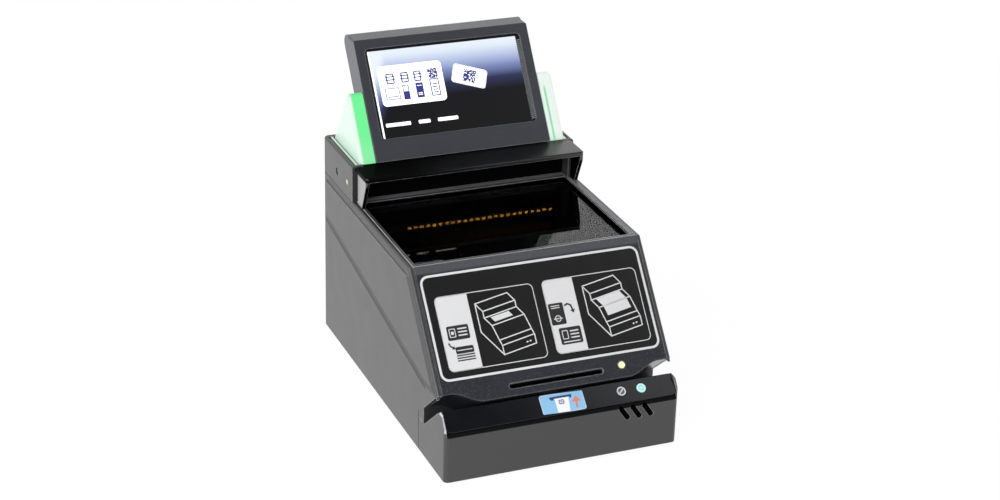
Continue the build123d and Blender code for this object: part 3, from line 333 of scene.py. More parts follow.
def housing():
    """The housing's plastic. The ramps round its raised fields and a band of wall below them carry painted
    shade. Its sound slots and the ledge in front of the polished strip are painted black as shade, the slot
    module's side seam is black, and the strip's rim carries a painted highlight, strong on the left"""
    surface = moulded("housing_plastic", (0.031, 0.031, 0.032), 0.38)
    x, y, z = surface.position()
    side = abs(x)
    normal = surface.add("ShaderNodeNewGeometry").out("True Normal")
    lean = 1 - abs(surface.add("ShaderNodeSeparateXYZ", None, {0: normal}).out(0))
    wall = side.step(half_width - 0.1, half_width)
    # Painted shade: the ramps round the raised fields, and a band of wall below the fields' lower edge, are
    # mixed towards dull black
    ramp = lean.between(0.012, 0.02, 0.06, 0.08) * wall
    climb = z * cos(field_foot_lean) - y * sin(field_foot_lean) - field_foot_height
    below = climb.between(-3.2, -2.6, 0.0, 0.3) * y.between(*field_run) * wall
    # Painted shade: the sound slots and the ledge under the polished strip are painted black, and the
    # module's side seam is a black joint
    slot_shade = y.between(0.1, 0.4, 5, 5.2) * x.between(*sound_slots_x) * z.between(*sound_slots_z)
    ledge_shade = z.between(27.6, 27.9, bezel_foot_height - 0.2, bezel_foot_height - 0.1) * y.drop(2.2, 2.4)
    ledge_shade = ledge_shade * side.drop(half_width - 1.4, half_width - 1.2)
    seam = y.between(module_depth - 0.5, module_depth - 0.3, module_depth + 0.2, module_depth + 0.4)
    seam = seam * side.step(half_width - 0.5, half_width - 0.3) * z.drop(24, 25)
    shade_and_seam_black = slot_shade + ledge_shade + seam
    shade = ramp.combine("MAXIMUM", below) * 0.4
    surface.darken(shade * (1 - shade_and_seam_black) + shade_and_seam_black, (0.004, 0.004, 0.004))
    # Painted highlight: a pale line along the polished strip's rim, strong on the left and faint on the right
    rim = side.between(half_width - 1.25, half_width - 1.15, half_width - 0.2, half_width - 0.1)
    rim = rim * z.step(bezel_foot_height - 0.7, bezel_foot_height + 0.3) * y.drop(10, 10.5)
    surface.paint(rim * (1 - x.step(-1, 1) * 0.85) * 0.8, (0.6, 0.6, 0.62))
    return surface


dress(housing(), "main_housing", "hood_housing", "display_stand", "slot_module_housing")


# The base plate: the same plastic in a coarser grain, screwed on from below. Its four feet are soft black
# rubber, pressed into round pockets, with rings moulded into their soles.

base_plastic = moulded("base_plastic", (0.026, 0.026, 0.028), 0.5, grain=0.6, depth=0.5, highlight_strength=0.15)
dress(base_plastic, "base_plate")


def rubber():
    """Soft rubber with a dull skin and dust in its pores"""
    surface = Surface("foot_rubber")
    dust = surface.noise(2.5, 4.0)
    dusty = surface.blend(dust.step(0.4, 0.8), (0.012, 0.012, 0.012), (0.03, 0.029, 0.027))
    surface.feed("Base Color", dusty)
    surface.feed("Roughness", 0.7 + dust * 0.2)
    surface.bump(dust, 0.3, 0.05)
    return surface


class Recipe(Nodes):
    """A shape that Geometry Nodes make from one small part. Its sizes are the tree's named inputs"""

    def __init__(self, name, part, sizes):
        super().__init__(bpy.data.node_groups.new(name, "GeometryNodeTree"))
        self.name = name
        self.part = part
        kinds = {int: "NodeSocketInt", float: "NodeSocketFloat", tuple: "NodeSocketVector"}
        self.tree.interface.new_socket("Part", in_out="INPUT", socket_type="NodeSocketGeometry")
        self.values = {}
        for key, value in sizes.items():
            socket = self.tree.interface.new_socket(key, in_out="INPUT", socket_type=kinds[type(value)])
            self.values[socket.identifier] = value
        self.tree.interface.new_socket("Shape", in_out="OUTPUT", socket_type="NodeSocketGeometry")
        self.start = self.add("NodeGroupInput")

    def size(self, key):
        return self.start.out(key)

    def step(self, kind, **inputs):
        """Adds a Geometry Node by its short name and gives its shape"""
        named = {key.replace("_", " "): value for key, value in inputs.items()}
        return self.add("GeometryNode" + kind, None, named).out()

    def grid(self, wide, deep, count):
        """A level grid of points, with so many each way"""
        return self.step("MeshGrid", Size_X=self.size(wide), Size_Y=self.size(deep), Vertices_X=count,
                         Vertices_Y=count)

    def make(self, shape, surface):
        """Turns the tree's result into a plain mesh object"""
        plain = self.step("RealizeInstances", Geometry=shape)
        dressed = self.step("SetMaterial", Geometry=plain, Material=surface.owner)
        self.add("NodeGroupOutput", None, {0: dressed})
        maker = bpy.data.objects.new(self.name + "_maker", self.part)
        bpy.context.scene.collection.objects.link(maker)
        modifier = maker.modifiers.new(self.name, "NODES")
        modifier.node_group = self.tree
        for identifier, value in self.values.items():
            modifier[identifier] = value
        ready = maker.evaluated_get(bpy.context.evaluated_depsgraph_get())
        piece = bpy.data.objects.new(self.name, bpy.data.meshes.new_from_object(ready))
        bpy.data.objects.remove(maker)
        bpy.context.scene.collection.objects.link(piece)
        return piece


def mesh_data(name, mesh):
    """A plain mesh from one that is being built"""
    data = bpy.data.meshes.new(name)
    mesh.to_mesh(data)
    mesh.free()
    return data


def turned_part(name, profile, sides=40):
    """A closed part with an upright axis: its profile is a list of radius and height"""
    mesh = bmesh.new()
    rings = []
    for radius, height in profile:
        if radius == 0:
            rings.append([mesh.verts.new((0, 0, height))])
            continue
        angles = [2 * pi * i / sides for i in range(sides)]
        rings.append([mesh.verts.new((radius * cos(a), radius * sin(a), height)) for a in angles])
    for first, second in zip(rings, rings[1:]):
        for i in range(sides):
            after = (i + 1) % sides
            below = [first[i % len(first)], first[after % len(first)]]
            above = [second[after % len(second)], second[i % len(second)]]
            mesh.faces.new(list(dict.fromkeys(below + above)))
    bmesh.ops.recalc_face_normals(mesh, faces=mesh.faces)
    return mesh_data(name, mesh)


feet_low, feet_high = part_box("rubber_feet")
foot_radius = 7.0 * MM
foot_floor = feet_low.z
groove = foot_floor + 0.35 * MM
sole = [(0.0, groove), (1.4 * MM, groove)]
for ring in range(3):
    start = (1.6 + ring * 1.6) * MM
    sole += [(start, foot_floor), (start + 0.9 * MM, foot_floor)]
    sole += [(start + 1.1 * MM, groove), (start + 1.4 * MM, groove)]
sole += [(6.4 * MM, groove), (6.5 * MM, foot_floor), (foot_radius, foot_floor + 0.5 * MM)]
sole += [(foot_radius, feet_high.z), (0.0, feet_high.z)]
feet_middle = (feet_low + feet_high) / 2
feet_sizes = {
    "Spread": (feet_high.x - feet_low.x - 2 * foot_radius),
    "Depth": (feet_high.y - feet_low.y - 2 * foot_radius),
    "Centre": (feet_middle.x, feet_middle.y, 0.0),
}
feet = Recipe("feet_with_rings", turned_part("foot", sole), feet_sizes)
foot_grid = feet.grid("Spread", "Depth", 2)
placed = feet.step("SetPosition", Geometry=foot_grid, Offset=feet.size("Centre"))
foot_set = feet.step("InstanceOnPoints", Points=placed, Instance=feet.size("Part"))
foot_piece = feet.make(foot_set, rubber())
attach(foot_piece, "root")
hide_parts("rubber_feet")


# Screws, the data socket's shell, the read head and its spring: zinc plated steel with turned marks. The
# screws in the hood's sides are blackened.

def plated_steel():
    """Zinc plate: bright, a little yellow, with fine scratches"""
    surface = Surface("plated_steel", Metallic=1.0)
    marks = surface.noise(0.4, 3.0, stretch=(1, 1, 6))
    surface.tint(marks, (0.42, 0.42, 0.43), (0.62, 0.61, 0.58))
    surface.feed("Roughness", 0.28 + marks * 0.2)
    surface.bump(marks, 0.15, 0.02)
    return surface


dress(plated_steel(), "base_screws", "data_socket", "read_head", "head_spring")
dress(moulded("black_screw", (0.05, 0.05, 0.05), 0.3, grain=0.2, depth=0.1, edge=0.3), "hood_screws")


# Black inner plastics: the round power socket and the camera's barrel. The card reader and the loudspeaker
# lie in their dark openings, so they are painted near black and dull, as shade.

inner_black = moulded("inner_black", (0.012, 0.012, 0.013), 0.5, grain=0.3, depth=0.3, edge=0.2, highlight_strength=0.1)
dress(inner_black, "power_socket", "camera_barrel")
deep_black = moulded("deep_black", (0.001, 0.001, 0.001), 0.9, grain=0.3, depth=0.2, highlight_strength=0.0, speck=0.0,
                     shine=0.05)
dress(deep_black, "card_reader", "loudspeaker")


# The sloping front panel and the window's frame: near black, moulded in one tone, with a visible grain. The
# band above the label carries a painted sheen, and the frame a strong painted highlight along its edges.

def panel():
    """Near black plastic with a painted sheen in its top band"""
    surface = moulded("panel_plastic", (0.014, 0.016, 0.023), 0.3, grain=0.5, depth=0.5, highlight_tone=0.7,
                      speck=1.0)
    height = surface.position()[2]
    label_top = 100.2
    # Painted sheen: the band above the label is painted paler, broken up by noise
    top_band_sheen = height.step(label_top, label_top + 1.2) * (0.7 + surface.noise(0.6, 3.0).step(0.4, 0.7) * 0.3)
    surface.paint(top_band_sheen, (0.085, 0.087, 0.096))
    return surface


dress(panel(), "front_panel")
frame_plastic = moulded("frame_plastic", (0.03, 0.03, 0.032), 0.3, grain=0.6, depth=0.15, highlight_strength=2.0,
                        highlight_tone=0.9)
dress(frame_plastic, "glass_frame")


# The visor over the window: the darkest plastic, polished a little. The outsides of its cheeks carry a
# painted sheen, its hollow and the left of its top are painted black as shade, and a painted highlight runs
# along the bead at the foot of its back wall.

def measured(node):
    """The low and high corners of a CAD node's box, in the millimetres of a material's position"""
    return [(corner - Vector((0, front_y, base_z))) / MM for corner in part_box(node)]


def visor():
    """Polished black plastic; its hollow is painted black as shade"""
    surface = moulded("visor_plastic", (0.006, 0.006, 0.007), 0.3, grain=0.5, depth=0.15, highlight_strength=0.9,
                      highlight_tone=0.5)
    surface.shader.node.inputs["Coat Roughness"].default_value = 0.25
    x, y, z = surface.position()
    low, high = measured("hood_visor")
    wall = 2.5
    bead_side = 1.3
    bead_front = high.y - wall - bead_side
    cheek_coat_and_sheen = abs(x).step(high.x - 0.4, high.x - 0.2)
    surface.feed("Coat Weight", cheek_coat_and_sheen)
    top = z.step(high.z - wall - 0.2, high.z - wall)
    bead_highlight = z.drop(low.z + bead_side, low.z + bead_side + 0.2) * y.step(bead_front - 0.1, bead_front)
    # Painted sheen on the outsides of the cheeks, and a painted highlight on the bead at the foot of the back
    # wall
    surface.paint(cheek_coat_and_sheen, (0.07, 0.07, 0.072))
    surface.paint(bead_highlight, (0.075, 0.075, 0.08))
    # Painted shade: the hollow and the left part of the top are mixed to dull black, clear of the edge
    # highlight
    clear_of_edge_highlight = 1 - surface.worn
    hollow_shade = (1 - top) * (1 - cheek_coat_and_sheen) * y.step(low.y + 1.2, low.y + 1.8) * (1 - bead_highlight) * clear_of_edge_highlight
    surface.darken(hollow_shade + top * x.drop(-45, 25) * clear_of_edge_highlight * 0.95, (0.001, 0.001, 0.001), 0.02)
    return surface


dress(visor(), "hood_visor")


# The display's two shells: a front frame and a rear cover that snap together, grey black. The sloping walls
# of its window are matt, so that they don't mirror the picture, and painted near black as shade.

class Slope:
    """A sloping face: its foot's distance from the front face, its foot's height and its lean"""

    def __init__(self, foot_y, foot_z, degrees):
        self.foot_y = foot_y
        self.foot_z = foot_z
        self.lean = radians(degrees)

    def point(self, x, up, out):
        """A point in metres, from millimetres to the right, up the slope and out from it"""
        y = self.foot_y + up * cos(self.lean) - out * sin(self.lean)
        z = self.foot_z + up * sin(self.lean) + out * cos(self.lean)
        return Vector((x * MM, front_y + y * MM, base_z + z * MM))

    def up(self, y, z):
        """How many millimetres up the slope a place lies"""
        return (y - self.foot_y) * cos(self.lean) + (z - self.foot_z) * sin(self.lean)

    def deep(self, y, z):
        """How many millimetres behind the slope a place lies"""
        return (y - self.foot_y) * sin(self.lean) - (z - self.foot_z) * cos(self.lean)


display_slope = Slope(158.0, 127.4, 54.77)


def display_shell():
    """Grey black plastic; the walls round the picture are matt and painted near black as shade"""
    surface = moulded("display_plastic", (0.03, 0.034, 0.044), 0.33, grain=0.7, depth=0.4, highlight_tone=0.3,
                      speck=0.5)
    x, y, z = surface.position()
    window_half = 50.4
    window_rise = (13, 13.2, 69.6, 69.8)
    window = abs(x).drop(window_half, window_half + 0.2) * display_slope.up(y, z).between(*window_rise)
    # Painted shade: the window's sunken walls are mixed to dull near black, clear of the edge highlight
    recess_shade = display_slope.deep(y, z).step(0.15, 0.4) * window
    surface.darken(recess_shade * (1 - surface.worn), (0.004, 0.004, 0.006))
    return surface


dress(display_shell(), "display_front_frame", "display_rear_cover")


# The polished strip over the slot module: black plastic with hairline marks from wiping. It carries the two
# keys and the sticker.

def polished(name, colour, roughness):
    """Polished plastic, a little duller where hands have wiped it"""
    surface = Surface(name)
    marks = surface.noise(0.5, 4.0, stretch=(0.15, 1, 1))
    smudge = surface.noise(9, 3.0).step(0.45, 0.75)
    rounded = surface.rounding(0.4)[0]
    lighter = tuple(c * 1.3 + 0.001 for c in colour)
    surface.tint(smudge * 0.5, colour, lighter)
    surface.feed("Roughness", roughness + smudge * 0.03 + marks * 0.03)
    surface.bump(marks, 0.04, 0.02, rounded)
    return surface


dress(polished("bezel_black", (0.004, 0.0045, 0.007), 0.12), "slot_module_bezel")


# The glass that the document lies on: clear float glass with an anti-reflection coat, over a black chamber
# in which the camera and its lens sit.

def flat_glass(name, node, tint, bend):
    """Clear polished glass with faint wipe marks. Its top is coated, so that only its underside mirrors"""
    surface = Surface(name, Transmission_Weight=1.0, IOR=bend, Roughness=0.0)
    haze = surface.noise(16, 4.0).step(0.5, 0.8)
    surface.tint(haze, tint, tuple(c * 0.95 for c in tint))
    top = measured(node)[1].z
    inputs = {"Color": (1, 1, 1), "Roughness": 0.0, "IOR": bend}
    coated = surface.add("ShaderNodeBsdfRefraction", None, inputs)
    surface.cover(surface.position()[2].step(top - 0.3, top - 0.2), coated)
    return surface


dress(flat_glass("window_glass", "document_glass", (0.24, 0.25, 0.27), 1.15), "document_glass")
dress(flat_glass("lens_glass", "camera_lens", (0.5, 0.45, 0.8), 1.5), "camera_lens")
chamber_black = moulded("chamber_black", (0.0025, 0.0025, 0.003), 0.8, grain=0.5, depth=0.1, highlight_strength=0.0,
                        shine=0.05)
dress(chamber_black, "light_chamber", "radio_antenna")


# Circuit boards: green mask over glass cloth, with paler tracks. The two boards in the signal lights are of
# the same kind.

def board_green():
    """A circuit board's face with straight tracks"""
    surface = Surface("board_green")
    tracks = surface.add("ShaderNodeTexBrick", None, {
        "Vector": surface.place(), "Scale": 260.0, "Mortar Size": 0.03, "Color1": (0.006, 0.07, 0.03),
        "Color2": (0.008, 0.09, 0.04), "Mortar": (0.02, 0.2, 0.09),
    })
    surface.feed("Base Color", tracks.out())
    surface.feed("Roughness", 0.35 + surface.noise(1) * 0.15)
    return surface


dress(board_green(), "camera_board", "lighting_strips", "key_board", "main_board", "left_light_board",
      "right_light_board")


# The amber strip under the visor: a black board with a row of lamps, plugged in at its left end. From
# outside only its mirror image in the glass is seen.

def lit_row():
    """A black board whose raised lamps glow amber"""
    surface = Surface("amber_row", Roughness=0.4, Emission_Strength=5.0)
    x, y = surface.position()[:2]
    high = measured("amber_strip")[1]
    board_face = high.y - 0.9
    lamp_pitch = 4.0
    first_lamp = -40.5
    phase = ((high.x - x) / lamp_pitch).combine("FRACT")
    lamps = y.drop(board_face - 0.1, board_face) * x.step(first_lamp, first_lamp + 0.5)
    lamps = lamps * abs(phase - 0.5).drop(0.22, 0.3)
    surface.tint(lamps, (0.012, 0.012, 0.012), (0.9, 0.5, 0.06))
    surface.feed("Emission Color", surface.blend(lamps, (0, 0, 0), (1.0, 0.5, 0.05)))
    return surface


dress(lit_row(), "amber_strip")


# The two signal lights: frosted acrylic wedges beside the display, lit green from the lamps behind their
# front edge.

def lit_acrylic():
    """Pale acrylic that glows, with a saturated band behind the left light's front edge, and painted shade at
    its foot and in the gap at the hood's top
    """
    surface = Surface("signal_green", Roughness=0.3, Emission_Strength=0.55)
    x, y, z = surface.position()
    up = display_slope.up(y, z)
    front = display_slope.deep(y, z).drop(3.2, 4.4)
    right = x.step(-5, 5)
    left_band = (-63.9, -63.1, -50, -45)
    right_line = (57.9, 58.4, 59.2, 59.8)
    band = front * x.between(*left_band) * (0.8 + up.step(4, 20) * 0.2)
    line = front * x.between(*right_line) * up.drop(32, 36)
    # Painted shade: the lights' feet are darkened, and the gap at the hood's top is painted near black
    foot = z.drop(display_slope.foot_z - 0.5, display_slope.foot_z + 2.5) * 0.4
    hood_top = display_slope.foot_z - 0.9
    gap_shade = z.drop(hood_top - 0.5, hood_top - 0.3)
    cloud = surface.noise(8, 3.0)
    rounded, turn = surface.rounding(0.6)
    colour = surface.blend(right, (0.58, 0.74, 0.63), (0.86, 0.93, 0.88))
    layers = [
        (cloud * 0.3, (0.5, 0.7, 0.56)),
        (foot, (0.36, 0.52, 0.42)),
        (line, (0.3, 0.72, 0.44)),
        (band, (0.16, 0.86, 0.3)),
        (gap_shade, (0.02, 0.03, 0.025)),
        (turn.step(0.01, 0.12) * right * 0.7, (0.42, 0.82, 0.56)),
    ]
    for mask, tone in layers:
        colour = surface.blend(mask, colour, tone)
    surface.tint(0.5, colour, (0, 0, 0))
    surface.feed("Emission Color", colour)
    surface.bump(cloud, 0.1, 0.05, rounded)
    return surface


dress(lit_acrylic(), "left_light", "right_light")


# The printed overlay on the sloping panel: black satin film. Its white printing is a thin layer of ink:
# a border, two framed fields with white strips, and plain line drawings.

panel_slope = Slope(13.0, 47.6, 50.145)
film_thick = 0.25
ink_thick = 0.05


def rounded_box(x_low, x_high, low, high, radius, steps=6):
    """The outline of a rectangle with round corners"""
    points = []
    centres = [
        (x_high - radius, high - radius, 0),
        (x_low + radius, high - radius, 90),
        (x_low + radius, low + radius, 180),
        (x_high - radius, low + radius, 270),
    ]
    for x, up, start in centres:
        for step in range(steps + 1):
            angle = radians(start + 90 * step / steps)
            points.append((x + radius * cos(angle), up + radius * sin(angle)))
    return points


def shifted(points, index, width, closed):
    """A corner of a line, moved to its left by half of the line's width"""
    here = Vector(points[index])
    before = Vector(points[index - 1]) if index > 0 or closed else None
    after = Vector(points[(index + 1) % len(points)]) if index < len(points) - 1 or closed else None
    ahead = (after - here).normalized() if after is not None else (here - before).normalized()
    behind = (here - before).normalized() if before is not None else ahead
    sides = [Vector((-ahead.y, ahead.x)), Vector((-behind.y, behind.x))]
    middle = (sides[0] + sides[1]).normalized()
    reach = width / 2 / max(0.35, middle.dot(sides[0]))
    return here + middle * reach


def circle_points(x, up, radius, steps=28):
    """Points round a circle"""
    angles = [2 * pi * i / steps for i in range(steps)]
    return [(x + radius * cos(angle), up + radius * sin(angle)) for angle in angles]


def line_quads(points, width, closed=False):
    """The four-sided pieces of a line of even width"""
    left = [tuple(shifted(points, index, width, closed)) for index in range(len(points))]
    right = [tuple(shifted(points, index, -width, closed)) for index in range(len(points))]
    count = len(points) if closed else len(points) - 1
    quads = []
    for index in range(count):
        after = (index + 1) % len(points)
        quads.append([right[index], right[after], left[after], left[index]])
    return quads


def inset_line(points, width):
    """A closed line that lies just inside an outline"""
    inner = [tuple(shifted(points, index, width * 2, True)) for index in range(len(points))]
    count = len(points)
    return [[points[i], points[(i + 1) % count], inner[(i + 1) % count], inner[i]] for i in range(count)]


def print_layer(name, shapes, place, low, high, surface, body="root"):
    """A thin raised layer of ink: each outline becomes a closed plate between two heights"""
    mesh = bmesh.new()
    for shape in shapes:
        bottom = [mesh.verts.new(place(x, up, low)) for x, up in shape]
        top = [mesh.verts.new(place(x, up, high)) for x, up in shape]
        mesh.faces.new(top)
        mesh.faces.new(bottom[::-1])
        for index in range(len(shape)):
            after = (index + 1) % len(shape)
            mesh.faces.new([bottom[index], bottom[after], top[after], top[index]])
    bmesh.ops.recalc_face_normals(mesh, faces=mesh.faces)
    bmesh.ops.triangulate(mesh, faces=mesh.faces)
    data = mesh_data(name, mesh)
    data.materials.append(surface.owner)
    piece = bpy.data.objects.new(name, data)
    bpy.context.scene.collection.objects.link(piece)
    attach(piece, body)


def printed(name, colour, roughness=0.5, glow=0.0):
    """Screen-printed ink, a little uneven in cover"""
    surface = Surface(name, Emission_Strength=glow)
    if glow > 0:
        surface.shader.node.inputs["Emission Color"].default_value = (*colour, 1)
    ink_cover = surface.noise(1.2, 4.0)
    surface.tint(ink_cover, tuple(c * 0.93 for c in colour), colour)
    surface.feed("Roughness", roughness - 0.05 + ink_cover * 0.1)
    return surface


dress(moulded("label_film", (0.005, 0.005, 0.0055), 0.26, grain=0.5, depth=0.12, edge=0.1, highlight_strength=0.0),
      "front_label")
white_ink = printed("white_ink", (0.74, 0.74, 0.75), 0.4)
black_ink = printed("black_ink", (0.012, 0.012, 0.013), 0.4)

border = rounded_box(-66.7, 66.7, 7.1, 68.2, 5.0)
left_field = rounded_box(-61.0, -1.7, 11.9, 55.3, 3.2)
right_field = rounded_box(3.7, 62.2, 12.2, 55.6, 3.2)


def left_part(field, x_limit):
    """The part of a rounded field left of a vertical line"""
    middle = sum(x for x, up in field) / len(field)
    kept = [(x, up) for x, up in field if x < middle]
    high = max(up for x, up in field)
    low = min(up for x, up in field)
    return [(x_limit, high)] + kept + [(x_limit, low)]


ink_shapes = inset_line(border, 1.35)
ink_shapes += inset_line(left_field, 0.45) + inset_line(right_field, 0.45)
ink_shapes += [left_part(left_field, -41.4), left_part(right_field, 22.7)]

drawing_turn = radians(20)
drawing_tilt = radians(30)


def sketched(place, points):
    """Points of a small model, in its own width, depth and height, as a flat drawing shows them"""
    made = []
    for x, y, z in points:
        across = x * cos(drawing_turn) - y * sin(drawing_turn)
        away = x * sin(drawing_turn) + y * cos(drawing_turn)
        made.append((place[0] + across, place[1] + away * sin(drawing_tilt) + z * cos(drawing_tilt)))
    return made


def reader_drawing(place, page):
    """A plain line drawing of a desk reader: a low front, a slope, a level window and a hood"""
    wide = 21.5
    profile = [(0, 6.2), (3, 8.2), (10, 14.6), (20.5, 14.6), (20.5, 19), (31.0, 19)]
    stroke = 0.62
    front = [(0, 0, 0), (wide, 0, 0), (wide, *profile[0]), (0, *profile[0])]
    shapes = line_quads(sketched(place, front), stroke, True)
    for first, second in zip(profile, profile[1:]):
        face = [(0, *first), (0, *second), (wide, *second), (wide, *first)]
        shapes += line_quads(sketched(place, face), stroke)
    back = profile[-1]
    shapes += line_quads(sketched(place, [(0, 0, 0), (0, back[0], 0), (0, *back)]), stroke)
    shapes.append(sketched(place, page))
    for x in (15.5, 17.5):
        shapes.append(sketched(place, [(x, 0, 2.4), (x + 1.1, 0, 2.4), (x + 1.1, 0, 3.3), (x, 0, 3.3)]))
    return shapes


card_page = [(3.5, 13, 14.6), (15.5, 13, 14.6), (15.5, 19, 14.6), (3.5, 19, 14.6)]
book_page = [(3, 5.4, 10.4), (19, 5.4, 10.4), (19, 10, 14.6), (19, 19.8, 14.6), (3, 19.8, 14.6)]
book_page.append((3, 10, 14.6))
ink_shapes += reader_drawing((-27.2, 17.2), card_page) + reader_drawing((38.4, 17.9), book_page)
ink_top = film_thick + ink_thick
print_layer("label_white_print", ink_shapes, panel_slope.point, film_thick, ink_top, white_ink)


def bars(x_low, x_high, first, pitch, count, thick):
    """Level bars, one above the other"""
    levels = [first + i * pitch for i in range(count)]
    return [[(x_low, up), (x_high, up), (x_high, up + thick), (x_low, up + thick)] for up in levels]


def bent_arrow(points, width):
    """A curved arrow with a pointed head"""
    ahead = (Vector(points[-1]) - Vector(points[-2])).normalized()
    side = Vector((-ahead.y, ahead.x)) * width * 1.5
    end = Vector(points[-1])
    head = [tuple(end - side), tuple(end + ahead * width * 2), tuple(end + side)]
    return line_quads(points, width) + [head]


dark_shapes = [rounded_box(-57.6, -44.6, 29.6, 37.8, 1.0), rounded_box(-54.8, -44.1, 21.6, 25.6, 0.8)]
dark_shapes += bars(-54.8, -44.1, 17.4, 1.45, 3, 0.75)
dark_shapes += bent_arrow([(-58.0, 28.4), (-57.3, 26.6), (-56.0, 25.6)], 0.85)
dark_shapes += [rounded_box(4.7, 13.6, 29.0, 41.6, 0.8), rounded_box(7.7, 20.9, 17.2, 26.9, 1.0)]
dark_shapes += bent_arrow([(14.4, 39.4), (16.4, 40.3), (18.2, 39.3), (18.8, 36.6)], 1.0)
dark_top = ink_top + ink_thick
print_layer("label_dark_print", dark_shapes, panel_slope.point, ink_top, dark_top, black_ink)
pale_shapes = inset_line(rounded_box(-56.4, -52.6, 31.2, 36.3, 0.6), 0.45)
pale_shapes += [rounded_box(-55.3, -53.7, 32.8, 34.6, 0.4)]
pale_shapes += bars(-51.2, -45.8, 31.6, 1.9, 3, 0.75) + bars(-54.0, -45.0, 23.3, 1.0, 1, 0.5)
pale_shapes += bars(6.2, 11.4, 38.6, 1.2, 2, 0.5) + inset_line(circle_points(9.1, 32.6, 1.9), 0.5)
pale_shapes += bars(6.4, 11.8, 32.3, 1.0, 1, 0.5)
pale_shapes += inset_line(rounded_box(9.2, 12.8, 20.2, 25.4, 0.6), 0.45)
pale_shapes += bars(14.2, 19.4, 20.4, 1.9, 3, 0.75) + bars(9.2, 19.4, 18.3, 1.0, 1, 0.6)
print_layer("label_small_print", pale_shapes, panel_slope.point, dark_top, dark_top + ink_thick, white_ink)


# Small lamps: the pale green status lamp in the sloping panel, and the yellow one in the hood's side. Each
# is a clear lens, brighter in its middle.

def lamp_lens(name, rim, centre, node, middle, size):
    """A lit lens, brighter in the middle than at its rim"""
    surface = Surface(name, Roughness=0.2, Coat_Weight=0.5, Emission_Strength=0.45)
    inputs = {0: surface.place(), 1: tuple(middle)}
    reach = surface.add("ShaderNodeVectorMath", {"operation": "DISTANCE"}, inputs).out("Value") / MM
    colour = surface.blend(reach.step(size * 0.56, size * 0.86), centre, rim)
    surface.feed("Base Color", colour)
    surface.feed("Emission Color", colour)
    dress(surface, node)


status_middle = panel_slope.point(40.2, 0.6, 0.6)
side_middle = sum(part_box("side_lamp"), Vector()) / 2
lamp_lens("status_lamp_lens", (0.22, 0.27, 0.03), (1.0, 1.0, 0.55), "status_lamp", status_middle, 2.55)
lamp_lens("side_lamp_lens", (0.3, 0.27, 0.12), (0.75, 0.7, 0.38), "side_lamp", side_middle, 2.6)


# The screen behind the display's window: a lit panel with a picture of a rounded field of small signs and
# a plain phone, on a ground that runs from white over blue to near black.

screen_sink = 2.5
screen_low = 14.3
screen_high = 68.1
screen_half = 47.7


def screen_ground():
    """The picture's ground: white at the top and along the left, then blue, and near black below"""
    surface = Surface("screen_ground", Roughness=0.16, Emission_Strength=0.95)
    x, y, z = surface.position()
    left = (x + screen_half).drop(0.0, 11)
    height = (display_slope.up(y, z) - screen_low) / (screen_high - screen_low) + left * 0.26
    stops = [
        (0.0, (0.001, 0.001, 0.001)),
        (0.42, (0.002, 0.002, 0.005)),
        (0.56, (0.025, 0.03, 0.09)),
        (0.69, (0.2, 0.25, 0.5)),
        (0.83, (0.52, 0.6, 0.82)),
        (0.93, (0.76, 0.84, 0.95)),
        (1.0, (0.84, 0.9, 0.98)),
    ]
    colour = surface.add("ShaderNodeValToRGB", {"stops": stops}, {0: height}).out()
    surface.tint(0.93, colour, (0, 0, 0))
    surface.feed("Emission Color", colour)
    return surface


def screen_layer(name, shapes, step, surface):
    """One layer of the screen's picture, a little above the one before it"""
    low = -screen_sink + step * ink_thick
    print_layer(name, shapes, display_slope.point, low, low + ink_thick, surface)


def plain_box(x_low, x_high, low, high):
    """The outline of a rectangle"""
    return [(x_low, low), (x_high, low), (x_high, high), (x_low, high)]


dress(moulded("screen_edge", (0.01, 0.01, 0.012), 0.3, highlight_strength=0.0), "display_screen")
picture = plain_box(-screen_half, screen_half, screen_low, screen_high)
screen_layer("screen_picture", [picture], 0, screen_ground())
lit_white = printed("lit_white", (0.9, 0.92, 0.97), 0.2, 0.8)
lit_blue = printed("lit_blue", (0.03, 0.035, 0.2), 0.2, 0.4)
lit_grey = printed("lit_grey", (0.3, 0.28, 0.4), 0.2, 0.3)
phone_turn = radians(-18.8)
phone_centre = (13.4, 46.5)


def on_phone(points):
    """Points of the phone's picture, turned and moved to its place on the screen"""
    made = []
    for x, up in points:
        made.append((
            phone_centre[0] + x * cos(phone_turn) - up * sin(phone_turn),
            phone_centre[1] + x * sin(phone_turn) + up * cos(phone_turn),
        ))
    return made


white_shapes = [rounded_box(-43.9, -3.2, 33.5, 58.4, 2.6), on_phone(rounded_box(-10.9, 10.9, -5.9, 5.9, 1.8))]
for low, high in ((-44.8, -29.0), (-24.0, -16.6), (-11.8, 1.2)):
    white_shapes.append(rounded_box(low, high, 21.0, 23.2, 0.6))
white_shapes.append(plain_box(-screen_half, -screen_half + 1.1, screen_low, screen_high))
screen_layer("screen_white", white_shapes, 1, lit_white)
grey_shapes = inset_line(on_phone(rounded_box(-10.6, 10.6, -5.6, 5.6, 1.6)), 0.3)
for x in (-8.6, 8.6):
    grey_shapes += line_quads(on_phone([(x, -5.4), (x, 5.4)]), 0.25)
grey_shapes += inset_line(rounded_box(-41.2, -32.1, 37.2, 44.6, 0.5), 0.6)
grey_shapes += bars(-40.0, -33.2, 38.8, 1.6, 1, 0.6)
screen_layer("screen_grey", grey_shapes, 2, lit_grey)
sign_shapes = []
for x_low, x_high in ((-39.2, -34.2), (-29.8, -25.2), (-21.6, -17.2)):
    sign_shapes += inset_line(rounded_box(x_low, x_high, 47.0, 53.4, 0.8), 0.7)
    sign_shapes += bars(x_low - 0.5, x_high + 0.5, 49.2, 1.9, 2, 0.6)
sign_shapes += inset_line(rounded_box(-30.0, -26.1, 36.6, 45.6, 0.4), 0.5)
